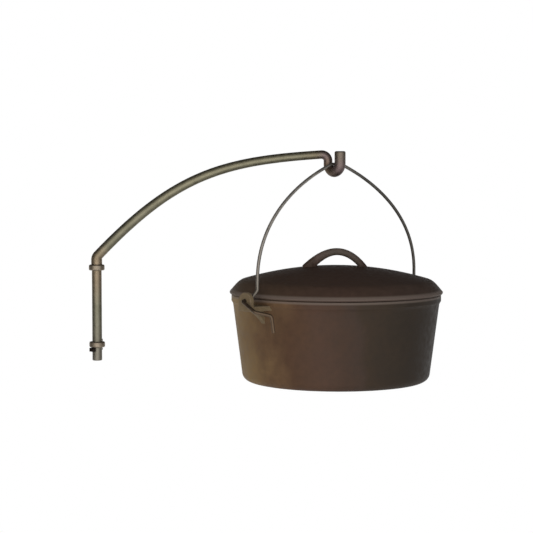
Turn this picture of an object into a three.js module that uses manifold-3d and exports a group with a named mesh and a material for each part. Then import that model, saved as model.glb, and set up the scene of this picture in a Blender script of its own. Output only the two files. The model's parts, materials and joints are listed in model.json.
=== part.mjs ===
// Hearth crane with a lidded cast-iron pot.
// A forged bar turns in two eyes built into the wall. Its arm ends in a turned-up dip that
// carries the wire bail of the pot. Millimetres, +Z up. The origin is the middle of the blunt
// end of the lower eye's shank, the arm runs along +X and the wall is on the +Y side.

import * as THREE from 'three';
import * as BufferGeometryUtils from 'three/addons/utils/BufferGeometryUtils.js';
import { RoundedBoxGeometry } from 'three/addons/geometries/RoundedBoxGeometry.js';
import Module from 'manifold-3d';

// Clearances
const SEAT_GAP = 0.3;
const EYE_CLEARANCE = 0.35;
const KEEPER_CLEARANCE = 0.2;
const SKIRT_CLEARANCE = 1.0;

// Wall eyes
const EYE_SPACING = 114.7;
const EYE_HEIGHT = 8.4;
const EYE_WALL = 4.0;
const EYE_EDGE_ROUND = 2.0;
const SHANK_LENGTH = 52;
const SHANK_SIZE = 8;
const SHANK_END_SIZE = 6.6;
const SHANK_CHAMFER = 1.3;

// Crane bar
const POST_RADIUS = 7.3;
const SHOULDER_STEP = 0.9;
const PIN_DROP = 24;
const END_CHAMFER = 1.3;
const ELBOW_STEM = 11.4;
const ELBOW_BEND = 9.4;
const ARM_ROOT_RADIUS = 7.6;
const ARM_TIP_RADIUS = 6.4;
const ARM_REACH = 343.2;
const ARM_RISE = 152;
const ARM_ROOT_ANGLE = 46.2;
const ARM_TIP_ANGLE = 3.7;
const ARM_ROOT_PULL = 166;
const ARM_TIP_PULL = 146;
const TIP_BEND = 9.5;
const LEG_RADIUS = 6.6;
const DIP_BAR_RADIUS = 8.2;
const DIP_BEND = 12.2;
const DIP_DROP = 13.6;
const STUB_RISE = 18.1;

// Keeper pin under the lower eye
const KEEPER_RADIUS = 2.1;
const KEEPER_HEAD_HEIGHT = 5.6;
const KEEPER_HEAD_WIDTH = 8.4;
const KEEPER_HEAD_DEPTH = 5;
const KEEPER_TAIL = 2.6;
const KEEPER_ANGLE = 232;

// Pot
const BAIL_ANGLE = 44;
const RIM_RADIUS = 155.3;
const RIM_BAND_HEIGHT = 11;
const RIM_BAND_STEP = 2.4;
const POT_DEPTH = 129;
const POT_TAPER_ANGLE = 7.2;
const POT_WALL = 5;
const POT_FLOOR = 5.5;
const BASE_CORNER = 12.7;
const INNER_CORNER = 10;
const RIM_ROUND = 1.8;

// Ears, cast with the pot
const EAR_STANDOFF = 24;
const EAR_PLATE = 7;
const EAR_EYE_RADIUS = 12.5;
const EAR_HOLE_CLEARANCE = 0.85;
const EAR_LEDGE_DROP = 8;
const EAR_LEDGE_THICKNESS = 7;
const EAR_ROOT_WIDTH = 40;
const EAR_WEB_DEPTH = 24;
const EAR_WEB_THICKNESS = 8;

// Bail
const WIRE_RADIUS = 2.4;
const BAIL_HEIGHT = 191.2;
const LEG_SETBACK = 11.5;
const LEG_BOW = 7;
const CROWN_ANGLE = 20;
const CROWN_BEND = 20;
const CROWN_PULL = 80;
const CROWN_SHIFT = 5;
const CROWN_FLAT_END = 1.5;
const LEG_PULL = 0.51;
const LEG_KINK_HEIGHT = 14;
const WIRE_BEND = 5;
const WIRE_HOLE_LEAD = 3.5;
const TAIL_STANDOFF = 5;
const TAIL_ACROSS = 27;
const TAIL_FALL = 14;
const TAIL_RETURN_IN = 20;
const TAIL_RETURN_ACROSS = 12;
const TAIL_RETURN_FALL = 5.5;
const TAIL_DROOP = 24;
const TAIL_DROOP_LEAN = 2.2;

// Lid with its cast loop handle
const LID_OVERHANG = 2.6;
const LID_RISE = 41.7;
const LID_DOME_DROP = 20;
const LID_SHOULDER_WIDTH = 20;
const LID_LIP_HEIGHT = 5;
const LID_THICKNESS = 4.6;
const SKIRT_DEPTH = 5.5;
const SKIRT_THICKNESS = 4;
const HANDLE_SPAN = 89;
const HANDLE_SET_LEFT = 2.5;
const HANDLE_LEAN_RIGHT = 4.3;
const HANDLE_RISE = 25.6;
const HANDLE_THICKNESS = 10.5;
const HANDLE_WIDTH = 15;
const HANDLE_FOOT_FLARE = 1.35;
const HANDLE_FOOT_DEPTH = 9.5;
const HANDLE_LEFT_WEB = 5.5;

// Facets
const BAR_SIDES = 20;
const WIRE_SIDES = 10;
const ROUND_SEGMENTS = 64;
const EYE_SEGMENTS = 32;
const DOME_STEPS = 8;
const DOME_UNDERSIDE_STEPS = 5;

const radians = THREE.MathUtils.degToRad;
const UP = new THREE.Vector3(0, 0, 1);
const DOWN = new THREE.Vector3(0, 0, -1);

// Places that follow from the sizes, in the crane's own axes: the post's axis is x = y = 0 and
// the lower eye's middle is z = 0.
const postTurnRadius = POST_RADIUS + EYE_CLEARANCE;
const eyeOuterRadius = postTurnRadius + EYE_WALL;
const shoulderHeight = EYE_SPACING + EYE_HEIGHT / 2 + SEAT_GAP;
const elbowHeight = shoulderHeight + ELBOW_STEM;
const armTipHeight = elbowHeight + ARM_RISE;
const dipHeight = armTipHeight - DIP_DROP;
const dipAngle = radians(BAIL_ANGLE - 90);
const dipDirection = new THREE.Vector3(Math.cos(dipAngle), Math.sin(dipAngle), 0);
const legTop = new THREE.Vector3(ARM_REACH, 0, armTipHeight);
const dipCentre = new THREE.Vector3(ARM_REACH, 0, dipHeight).addScaledVector(dipDirection, DIP_BEND);
const bailAngle = radians(BAIL_ANGLE);
const bailDirection = new THREE.Vector3(Math.cos(bailAngle), Math.sin(bailAngle), 0);
const potCentre = dipCentre.clone().addScaledVector(bailDirection, CROWN_SHIFT);
const bailSeatHeight = dipHeight - DIP_BEND + DIP_BAR_RADIUS + SEAT_GAP + WIRE_RADIUS;
const rimHeight = bailSeatHeight - BAIL_HEIGHT;
const keeperHeight = -(EYE_HEIGHT / 2 + SEAT_GAP + KEEPER_HEAD_HEIGHT / 2);

// Places in the pot's own axes: the pot's axis is x = y = 0, the rim and the ear holes are at
// z = 0 and the ears lie along x.
const earInnerFace = RIM_RADIUS + EAR_STANDOFF;
const earOuterFace = earInnerFace + EAR_PLATE;
const earHoleRadius = WIRE_RADIUS + EAR_HOLE_CLEARANCE;
const earHoleHeight = -(EAR_HOLE_CLEARANCE - SEAT_GAP);
const bailHalfWidth = earInnerFace - LEG_SETBACK;
const wallTop = RIM_RADIUS - RIM_BAND_STEP;
const taper = radians(POT_TAPER_ANGLE);

const manifoldLibrary = await Module();
manifoldLibrary.setup();

// A closed geometry as a manifold solid. Vertices at one place are merged, triangles that
// vanish at a pole are dropped, and a shape wound inside out is turned.
function solidFrom(geometry) {
  const plain = geometry.clone();
  plain.deleteAttribute('normal');
  plain.deleteAttribute('uv');
  const merged = BufferGeometryUtils.mergeVertices(plain, 1e-4);
  const place = merged.getAttribute('position');
  const corners = merged.getIndex().array;
  const kept = [];
  let volume = 0;
  const a = new THREE.Vector3();
  const b = new THREE.Vector3();
  const c = new THREE.Vector3();
  for (let i = 0; i < corners.length; i += 3) {
    const [p, q, r] = [corners[i], corners[i + 1], corners[i + 2]];
    if (p === q || q === r || r === p) {
      continue;
    }
    kept.push(p, q, r);
    a.fromBufferAttribute(place, p);
    b.fromBufferAttribute(place, q);
    c.fromBufferAttribute(place, r);
    volume += a.dot(b.cross(c));
  }
  if (volume < 0) {
    kept.reverse();
  }
  return new manifoldLibrary.Manifold(new manifoldLibrary.Mesh({
    numProp: 3,
    vertProperties: new Float32Array(place.array),
    triVerts: new Uint32Array(kept),
  }));
}

// A manifold solid as a geometry with flat faces.
function geometryFrom(solid) {
  const mesh = solid.getMesh();
  const geometry = new THREE.BufferGeometry();
  geometry.setAttribute('position', new THREE.BufferAttribute(new Float32Array(mesh.vertProperties), 3));
  geometry.setIndex(new THREE.BufferAttribute(new Uint32Array(mesh.triVerts), 1));
  return geometry;
}

function joined(solids) {
  return solids.reduce((whole, solid) => whole.add(solid));
}

// A solid of revolution about z from a profile of [radius, height] points.
function turned(profile, segments) {
  const points = profile.map(([radius, height]) => new THREE.Vector2(radius, height));
  const geometry = new THREE.LatheGeometry(points, segments);
  geometry.rotateX(Math.PI / 2);
  return geometry;
}

// Points of a round corner in a profile, from one angle to another in degrees.
function cornerPoints(radius, height, size, fromAngle, toAngle, steps) {
  const points = [];
  for (let i = 0; i <= steps; i += 1) {
    const angle = radians(THREE.MathUtils.lerp(fromAngle, toAngle, i / steps));
    points.push([radius + size * Math.cos(angle), height + size * Math.sin(angle)]);
  }
  return points;
}

// A plate: an outline in the x-y plane made thick along z, from z = 0.
function plate(outline, thickness) {
  return new THREE.ExtrudeGeometry(outline, { depth: thickness, bevelEnabled: false, curveSegments: 14 });
}

// A closed solid through rings of equal point count, with flat ends.
function loft(rings) {
  const count = rings[0].length;
  const positions = [];
  const index = [];
  for (const ring of rings) {
    for (const point of ring) {
      positions.push(point.x, point.y, point.z);
    }
  }
  for (let i = 0; i < rings.length - 1; i += 1) {
    for (let j = 0; j < count; j += 1) {
      const next = (j + 1) % count;
      const low = i * count;
      const high = low + count;
      index.push(low + j, low + next, high + next);
      index.push(low + j, high + next, high + j);
    }
  }
  const lastRing = (rings.length - 1) * count;
  for (let j = 1; j < count - 1; j += 1) {
    index.push(0, j + 1, j);
    index.push(lastRing, lastRing + j, lastRing + j + 1);
  }
  const geometry = new THREE.BufferGeometry();
  geometry.setAttribute('position', new THREE.Float32BufferAttribute(positions, 3));
  geometry.setIndex(index);
  return geometry;
}

// A round arc in space. It leaves its start along one direction and bends towards another,
// which is square to the first.
class BendCurve extends THREE.Curve {
  constructor(start, along, inward, radius, angle) {
    super();
    this.start = start;
    this.along = along;
    this.inward = inward;
    this.radius = radius;
    this.angle = angle;
  }

  getPoint(t, target = new THREE.Vector3()) {
    const turn = this.angle * t;
    target.copy(this.start);
    target.addScaledVector(this.along, this.radius * Math.sin(turn));
    target.addScaledVector(this.inward, this.radius * (1 - Math.cos(turn)));
    return target;
  }

  getTangent(t, target = new THREE.Vector3()) {
    const turn = this.angle * t;
    target.copy(this.along).multiplyScalar(Math.cos(turn));
    target.addScaledVector(this.inward, Math.sin(turn));
    return target.normalize();
  }
}

// The route of a bent bar: stations with a place, a direction and the bar's radius there.
class BarRoute {
  constructor(point, direction, radius) {
    this.stations = [{ point, direction, radius }];
  }

  get end() {
    return this.stations[this.stations.length - 1];
  }

  follow(curve, steps, endRadius) {
    const startRadius = this.end.radius;
    for (let i = 1; i <= steps; i += 1) {
      this.stations.push({
        point: curve.getPoint(i / steps),
        direction: curve.getTangent(i / steps),
        radius: THREE.MathUtils.lerp(startRadius, endRadius, i / steps),
      });
    }
  }

  lineTo(point, endRadius = this.end.radius) {
    this.follow(new THREE.LineCurve3(this.end.point, point), 1, endRadius);
  }

  shoulder(radius) {
    this.stations.push({ point: this.end.point, direction: this.end.direction, radius });
  }

  bendRound(inward, bendRadius, angle, steps, endRadius = this.end.radius) {
    const { point, direction } = this.end;
    this.follow(new BendCurve(point, direction, inward, bendRadius, angle), steps, endRadius);
  }

  // A straight run to a rounded corner, which turns the bar towards the next point.
  cornerAt(corner, next, bendRadius, steps, endRadius = this.end.radius) {
    const from = corner.clone().sub(this.end.point).normalize();
    const to = next.clone().sub(corner).normalize();
    const angle = from.angleTo(to);
    const entry = corner.clone().addScaledVector(from, -bendRadius * Math.tan(angle / 2));
    const inward = to.clone().addScaledVector(from, -to.dot(from)).normalize();
    this.lineTo(entry);
    this.end.direction = from;
    this.bendRound(inward, bendRadius, angle, steps, endRadius);
  }
}

// A round bar swept along its stations, with flat ends.
function sweptBar(stations, sides) {
  const side = new THREE.Vector3(0, 1, 0);
  if (Math.abs(stations[0].direction.y) > 0.9) {
    side.set(1, 0, 0);
  }
  const rings = stations.map(({ point, direction, radius }) => {
    side.addScaledVector(direction, -side.dot(direction)).normalize();
    const other = new THREE.Vector3().crossVectors(direction, side);
    const ring = [];
    for (let j = 0; j < sides; j += 1) {
      const angle = (2 * Math.PI * j) / sides;
      const spot = point.clone();
      spot.addScaledVector(side, radius * Math.cos(angle));
      spot.addScaledVector(other, radius * Math.sin(angle));
      ring.push(spot);
    }
    return ring;
  });
  return loft(rings);
}

// Wall eye: a forged ring on a square shank that tapers to a blunt end inside the wall.
function wallEye() {
  const half = EYE_HEIGHT / 2;
  const round = Math.min(EYE_EDGE_ROUND, EYE_WALL * 0.48);
  const inner = postTurnRadius + round;
  const outer = eyeOuterRadius - round;
  const ringProfile = [
    ...cornerPoints(outer, half - round, round, 0, 90, 3),
    ...cornerPoints(inner, half - round, round, 90, 180, 2),
    ...cornerPoints(inner, round - half, round, 180, 270, 2),
    ...cornerPoints(outer, round - half, round, 270, 360, 3),
  ];
  ringProfile.push(ringProfile[0]);
  const ring = solidFrom(turned(ringProfile, EYE_SEGMENTS));

  const squareAt = (distance, size) => {
    const edge = size / 2;
    const cut = edge - SHANK_CHAMFER;
    const corners = [[edge, cut], [cut, edge], [-cut, edge], [-edge, cut], [-edge, -cut], [-cut, -edge],
      [cut, -edge], [edge, -cut]];
    return corners.map(([x, z]) => new THREE.Vector3(x, distance, z));
  };
  const shankStart = postTurnRadius + EYE_WALL / 2;
  const shank = solidFrom(loft([
    squareAt(shankStart, SHANK_SIZE),
    squareAt((shankStart + SHANK_LENGTH) / 2, SHANK_SIZE),
    squareAt(SHANK_LENGTH, SHANK_END_SIZE),
  ]));
  return geometryFrom(ring.add(shank));
}

// Crane bar: pin end, post, shoulder, elbow, drawn-down arm, down-bend, dip and upright stub,
// all forged from one round bar.
function craneBar() {
  const route = new BarRoute(new THREE.Vector3(0, 0, -PIN_DROP), UP, POST_RADIUS - END_CHAMFER);
  route.lineTo(new THREE.Vector3(0, 0, END_CHAMFER - PIN_DROP), POST_RADIUS);
  route.lineTo(new THREE.Vector3(0, 0, shoulderHeight), POST_RADIUS);
  route.shoulder(POST_RADIUS + SHOULDER_STEP);

  const rootAngle = radians(ARM_ROOT_ANGLE);
  const tipAngle = radians(ARM_TIP_ANGLE);
  const rootDirection = new THREE.Vector3(Math.cos(rootAngle), 0, Math.sin(rootAngle));
  const tipDirection = new THREE.Vector3(Math.cos(tipAngle), 0, Math.sin(tipAngle));
  const elbow = new THREE.Vector3(0, 0, elbowHeight);
  route.cornerAt(elbow, elbow.clone().add(rootDirection), ELBOW_BEND, 7, ARM_ROOT_RADIUS);

  const tipTurn = Math.PI / 2 + tipAngle;
  const armEnd = legTop.clone().addScaledVector(tipDirection, -TIP_BEND * Math.tan(tipTurn / 2));
  const arm = new THREE.CubicBezierCurve3(
    route.end.point.clone(),
    route.end.point.clone().addScaledVector(rootDirection, ARM_ROOT_PULL),
    armEnd.clone().addScaledVector(tipDirection, -ARM_TIP_PULL),
    armEnd,
  );
  route.follow(arm, 28, ARM_TIP_RADIUS);
  const tipInward = new THREE.Vector3(Math.sin(tipAngle), 0, -Math.cos(tipAngle));
  route.bendRound(tipInward, TIP_BEND, tipTurn, 8, LEG_RADIUS);
  route.lineTo(new THREE.Vector3(ARM_REACH, 0, dipHeight));
  route.end.direction = DOWN;
  route.bendRound(dipDirection, DIP_BEND, Math.PI / 2, 7, DIP_BAR_RADIUS);
  route.bendRound(UP, DIP_BEND, Math.PI / 2, 7);
  const stubBase = route.end.point.clone();
  route.lineTo(stubBase.clone().addScaledVector(UP, STUB_RISE - END_CHAMFER));
  route.lineTo(stubBase.clone().addScaledVector(UP, STUB_RISE), DIP_BAR_RADIUS - END_CHAMFER);
  const bar = solidFrom(sweptBar(route.stations, BAR_SIDES));

  const drill = new THREE.CylinderGeometry(
    KEEPER_RADIUS + KEEPER_CLEARANCE,
    KEEPER_RADIUS + KEEPER_CLEARANCE,
    POST_RADIUS * 3,
    16,
  );
  drill.rotateZ(Math.PI / 2);
  drill.rotateZ(radians(KEEPER_ANGLE));
  drill.translate(0, 0, keeperHeight);
  return geometryFrom(bar.subtract(solidFrom(drill)));
}

// Keeper pin: a drift through the post's end with a square forged head. Along its own x axis
// the head is on the plus side.
function keeperPin() {
  const headStart = POST_RADIUS + SEAT_GAP;
  const headMiddle = headStart + KEEPER_HEAD_DEPTH / 2;
  const tailEnd = -(POST_RADIUS + KEEPER_TAIL);
  const shaft = new THREE.CylinderGeometry(KEEPER_RADIUS, KEEPER_RADIUS, headMiddle - tailEnd, 16);
  shaft.rotateZ(Math.PI / 2);
  shaft.translate((headMiddle + tailEnd) / 2, 0, 0);
  const head = new RoundedBoxGeometry(KEEPER_HEAD_DEPTH, KEEPER_HEAD_WIDTH, KEEPER_HEAD_HEIGHT, 2, 0.9);
  head.translate(headMiddle, 0, 0);
  return geometryFrom(solidFrom(shaft).add(solidFrom(head)));
}

// One half of the bail, from its crown to the end of its tail. The side is 1 for the leg on the
// plus x side and -1 for the other. The crown is level where it lies in the dip, and both legs
// are bowed the same way across the bail.
function bailHalf(side) {
  const spot = (out, across, height) => new THREE.Vector3(side * out, across, height);
  const route = new BarRoute(spot(0, 0, BAIL_HEIGHT), spot(1, 0, 0), WIRE_RADIUS);
  route.lineTo(spot(CROWN_SHIFT + CROWN_FLAT_END, 0, BAIL_HEIGHT));
  route.bendRound(DOWN, CROWN_BEND, radians(CROWN_ANGLE), 3);

  const legStart = spot(bailHalfWidth, -LEG_BOW, LEG_KINK_HEIGHT * 2);
  const start = route.end.point.clone();
  const drop = start.z - legStart.z;
  route.follow(new THREE.CubicBezierCurve3(
    start,
    start.clone().addScaledVector(route.end.direction, CROWN_PULL),
    legStart.clone().addScaledVector(UP, drop * LEG_PULL),
    legStart,
  ), 22, WIRE_RADIUS);

  const kink = spot(bailHalfWidth, -LEG_BOW, LEG_KINK_HEIGHT);
  const holeEntry = spot(earInnerFace - WIRE_HOLE_LEAD, 0, 0);
  const outside = spot(earOuterFace + TAIL_STANDOFF, 0, 0);
  const across = spot(earOuterFace + TAIL_STANDOFF, side * TAIL_ACROSS, -TAIL_FALL);
  const under = across.clone();
  under.add(spot(-TAIL_RETURN_IN, side * TAIL_RETURN_ACROSS, -TAIL_RETURN_FALL));
  const tailEnd = under.clone();
  tailEnd.add(spot(-TAIL_DROOP_LEAN, side * TAIL_DROOP_LEAN, -TAIL_DROOP));
  route.cornerAt(kink, holeEntry, WIRE_BEND, 4);
  route.cornerAt(holeEntry, outside, WIRE_BEND, 4);
  route.cornerAt(outside, across, TAIL_STANDOFF - SEAT_GAP, 5);
  route.cornerAt(across, under, WIRE_BEND, 4);
  route.cornerAt(under, tailEnd, WIRE_BEND, 4);
  route.lineTo(tailEnd);
  return route.stations;
}

// Bail: an arched wire. Each leg kinks outward through its ear, crosses the ear's outer face
// and ends in a drooping tail.
function bailWire() {
  const reversed = bailHalf(-1).slice(1).reverse().map(({ point, direction, radius }) => ({
    point,
    direction: direction.clone().negate(),
    radius,
  }));
  return geometryFrom(solidFrom(sweptBar([...reversed, ...bailHalf(1)], WIRE_SIDES)));
}

// One ear on the plus x side: a ledge out from under the rim, a web below it and an upright
// plate with the eye.
function ear() {
  const ledgeTop = -EAR_LEDGE_DROP;
  const ledgeBottom = ledgeTop - EAR_LEDGE_THICKNESS;
  const rootX = wallTop - POT_WALL * 0.7;
  const ledgeOutline = new THREE.Shape();
  ledgeOutline.moveTo(rootX, -EAR_ROOT_WIDTH / 2);
  ledgeOutline.quadraticCurveTo(
    (rootX + earInnerFace) / 2,
    -EAR_EYE_RADIUS,
    earInnerFace + EAR_PLATE / 2,
    -EAR_EYE_RADIUS,
  );
  ledgeOutline.lineTo(earInnerFace + EAR_PLATE / 2, EAR_EYE_RADIUS);
  ledgeOutline.quadraticCurveTo((rootX + earInnerFace) / 2, EAR_EYE_RADIUS, rootX, EAR_ROOT_WIDTH / 2);
  const ledge = plate(ledgeOutline, EAR_LEDGE_THICKNESS);
  ledge.translate(0, 0, ledgeBottom);

  const eyeOutline = new THREE.Shape();
  eyeOutline.moveTo(-EAR_EYE_RADIUS, ledgeBottom);
  eyeOutline.lineTo(EAR_EYE_RADIUS, ledgeBottom);
  eyeOutline.lineTo(EAR_EYE_RADIUS, earHoleHeight);
  eyeOutline.absarc(0, earHoleHeight, EAR_EYE_RADIUS, 0, Math.PI, false);
  const hole = new THREE.Path();
  hole.absarc(0, earHoleHeight, earHoleRadius, 0, 2 * Math.PI, true);
  eyeOutline.holes.push(hole);
  const eye = plate(eyeOutline, EAR_PLATE);
  eye.rotateX(Math.PI / 2);
  eye.rotateZ(Math.PI / 2);
  eye.translate(earInnerFace, 0, 0);

  const webBottom = ledgeBottom - EAR_WEB_DEPTH;
  const wallRootAt = (height) => wallTop - POT_WALL * 0.6 + (height + RIM_BAND_HEIGHT) * Math.tan(taper);
  const webOutline = new THREE.Shape();
  webOutline.moveTo(wallRootAt(ledgeBottom), ledgeBottom + EAR_LEDGE_THICKNESS / 2);
  webOutline.lineTo(wallRootAt(webBottom), webBottom);
  webOutline.quadraticCurveTo(
    wallRootAt(webBottom) + EAR_WEB_DEPTH / 2,
    ledgeBottom - EAR_WEB_DEPTH / 3,
    earInnerFace,
    ledgeBottom + EAR_LEDGE_THICKNESS / 2,
  );
  const web = plate(webOutline, EAR_WEB_THICKNESS);
  web.rotateX(Math.PI / 2);
  web.translate(0, EAR_WEB_THICKNESS / 2, 0);
  return joined([solidFrom(ledge), solidFrom(eye), solidFrom(web)]);
}

// Pot: a tapered cast shell with a rim band, a round base corner and two ears.
function potShell() {
  const baseRadius = wallTop - (POT_DEPTH - RIM_BAND_HEIGHT) * Math.tan(taper);
  const outerCorner = baseRadius - BASE_CORNER * (1 - Math.tan(taper));
  const innerTop = wallTop - POT_WALL;
  const innerFloor = POT_FLOOR - POT_DEPTH;
  const innerBase = innerTop + innerFloor * Math.tan(taper);
  const innerCorner = innerBase - INNER_CORNER * (1 - Math.tan(taper));
  const profile = [
    [0, -POT_DEPTH],
    ...cornerPoints(outerCorner, BASE_CORNER - POT_DEPTH, BASE_CORNER, -90, -POT_TAPER_ANGLE, 6),
    [wallTop, -RIM_BAND_HEIGHT - RIM_BAND_STEP],
    [RIM_RADIUS - RIM_ROUND / 2, -RIM_BAND_HEIGHT],
    [RIM_RADIUS, RIM_ROUND - RIM_BAND_HEIGHT],
    ...cornerPoints(RIM_RADIUS - RIM_ROUND, -RIM_ROUND, RIM_ROUND, 0, 90, 3),
    ...cornerPoints(innerTop + RIM_ROUND, -RIM_ROUND, RIM_ROUND, 90, 180, 3),
    ...cornerPoints(innerCorner, innerFloor + INNER_CORNER, INNER_CORNER, -POT_TAPER_ANGLE, -90, 5),
    [0, innerFloor],
  ];
  const shell = solidFrom(turned(profile, ROUND_SEGMENTS));
  const oneEar = ear();
  return geometryFrom(joined([shell, oneEar, oneEar.rotate([0, 0, 180])]));
}

// Lid: a shallow dome with a steeper shoulder and a thin lip, a skirt that finds the pot's
// mouth, and a cast loop handle that rises from flared feet. The left foot is webbed inside.
function lidWithHandle() {
  const lidRadius = RIM_RADIUS + LID_OVERHANG;
  const shoulderRadius = lidRadius - LID_SHOULDER_WIDTH;
  const domeAt = (radius) => LID_RISE - LID_DOME_DROP * (radius / shoulderRadius) ** 2;
  const shoulderSlope = (2 * LID_DOME_DROP) / shoulderRadius;
  const bottom = SEAT_GAP;
  const lipTop = bottom + LID_LIP_HEIGHT;
  const skirtOuter = wallTop - POT_WALL - SKIRT_CLEARANCE;
  const skirtInner = skirtOuter - SKIRT_THICKNESS;

  const shoulder = new THREE.CubicBezierCurve(
    new THREE.Vector2(shoulderRadius, domeAt(shoulderRadius)),
    new THREE.Vector2(
      shoulderRadius + LID_SHOULDER_WIDTH * 0.4,
      domeAt(shoulderRadius) - LID_SHOULDER_WIDTH * 0.4 * shoulderSlope,
    ),
    new THREE.Vector2(lidRadius - LID_SHOULDER_WIDTH * 0.3, lipTop + LID_SHOULDER_WIDTH * 0.24),
    new THREE.Vector2(lidRadius - LID_LIP_HEIGHT * 0.3, lipTop),
  );
  const domePoints = (edgeRadius, drop, steps) => {
    const points = [];
    for (let i = 0; i <= steps; i += 1) {
      const radius = (edgeRadius * i) / steps;
      points.push([radius, domeAt(radius) - drop]);
    }
    return points;
  };
  const outside = domePoints(shoulderRadius, 0, DOME_STEPS);
  outside.push(...shoulder.getPoints(5).slice(1).map((point) => [point.x, point.y]));
  const lip = [
    [lidRadius, lipTop - LID_LIP_HEIGHT * 0.45],
    [lidRadius - LID_LIP_HEIGHT * 0.08, bottom + LID_LIP_HEIGHT * 0.15],
    [lidRadius - LID_LIP_HEIGHT * 0.3, bottom],
    [skirtOuter, bottom],
    [skirtOuter - SKIRT_THICKNESS * 0.2, -SKIRT_DEPTH],
    [skirtInner + SKIRT_THICKNESS * 0.2, -SKIRT_DEPTH],
    [skirtInner, bottom],
  ];
  const inside = domePoints(skirtInner - SKIRT_THICKNESS, LID_THICKNESS, DOME_UNDERSIDE_STEPS);
  const dome = solidFrom(turned([...outside, ...lip, ...inside.reverse()], ROUND_SEGMENTS));

  const halfSpan = HANDLE_SPAN / 2;
  const archTop = LID_RISE + HANDLE_RISE - HANDLE_THICKNESS / 2;
  const footHeight = domeAt(halfSpan) - LID_THICKNESS * 0.55;
  const archCurve = new THREE.QuadraticBezierCurve3(
    new THREE.Vector3(-halfSpan - HANDLE_SET_LEFT, 0, footHeight),
    new THREE.Vector3(HANDLE_LEAN_RIGHT, 0, 2 * archTop - footHeight),
    new THREE.Vector3(halfSpan - HANDLE_SET_LEFT, 0, footHeight),
  );
  const across = new THREE.Vector3(0, 1, 0);
  const rings = [];
  const archSteps = 20;
  for (let i = 0; i <= archSteps; i += 1) {
    const point = archCurve.getPoint(i / archSteps);
    const normal = new THREE.Vector3().crossVectors(archCurve.getTangent(i / archSteps), across);
    const height = Math.max(0, point.z - footHeight);
    const flare = 1 + (HANDLE_FOOT_FLARE - 1) * Math.max(0, 1 - height / HANDLE_FOOT_DEPTH) ** 2;
    const web = HANDLE_LEFT_WEB * Math.max(0, 1 - (2 * i) / archSteps) ** 1.5;
    const ring = [];
    for (let j = 0; j < 16; j += 1) {
      const angle = (2 * Math.PI * j) / 16;
      const spot = point.clone();
      spot.addScaledVector(across, (HANDLE_WIDTH / 2) * flare * Math.cos(angle));
      const inner = Math.sin(angle) < 0 ? web : 0;
      spot.addScaledVector(normal, (HANDLE_THICKNESS / 2 + inner) * Math.sin(angle));
      ring.push(spot);
    }
    rings.push(ring);
  }
  const arch = solidFrom(loft(rings));
  const hollow = solidFrom(turned([
    ...domePoints(HANDLE_SPAN, LID_THICKNESS * 0.9, DOME_UNDERSIDE_STEPS),
    [HANDLE_SPAN, -LID_RISE],
    [0, -LID_RISE],
  ], ROUND_SEGMENTS));
  return geometryFrom(dome.add(arch.subtract(hollow)));
}

function mesh(name, geometry, color, roughness, metalness) {
  const made = new THREE.Mesh(geometry, new THREE.MeshStandardMaterial({ color, roughness, metalness }));
  made.name = name;
  return made;
}

const lowerEye = mesh('lower_wall_eye', wallEye(), 0x4a463c, 0.55, 0.85);
const upperEye = mesh('upper_wall_eye', wallEye(), 0x4a463c, 0.55, 0.85);
upperEye.position.z = EYE_SPACING;

const keeper = mesh('keeper_pin', keeperPin(), 0x1f1b17, 0.6, 0.8);
keeper.position.z = keeperHeight;
keeper.rotation.z = radians(KEEPER_ANGLE);

const potGroup = new THREE.Group();
potGroup.position.set(potCentre.x, potCentre.y, rimHeight);
potGroup.rotation.z = radians(BAIL_ANGLE);
potGroup.add(mesh('bail', bailWire(), 0x55524c, 0.5, 0.85));
potGroup.add(mesh('pot', potShell(), 0x3f342b, 0.6, 0.6));

const lid = mesh('lid', lidWithHandle(), 0x2f2823, 0.5, 0.6);
lid.rotation.z = -radians(BAIL_ANGLE);
potGroup.add(lid);

const craneAxes = new THREE.Group();
craneAxes.position.y = -SHANK_LENGTH;
craneAxes.add(lowerEye, upperEye, mesh('crane_bar', craneBar(), 0x6b675a, 0.45, 0.85), keeper, potGroup);

const hearthCrane = new THREE.Group();
hearthCrane.add(craneAxes);

export default hearthCrane;
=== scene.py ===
"""Hearth crane with a lidded iron pot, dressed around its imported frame.

A forged bar swings in two wall eyes and carries the pot by its wire bail. Sizes in the
dataclasses are millimetres, in the same axes as the part's source, and every mesh is made in
metres in the frame's own axes.
"""

import json
import logging
import math
from dataclasses import dataclass, replace
from enum import Enum
from functools import partial
from itertools import accumulate

import bmesh
import bpy
from bpy.types import Material, NodeSocket, NodeTree, Object
from mathutils import Matrix, Vector

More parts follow.
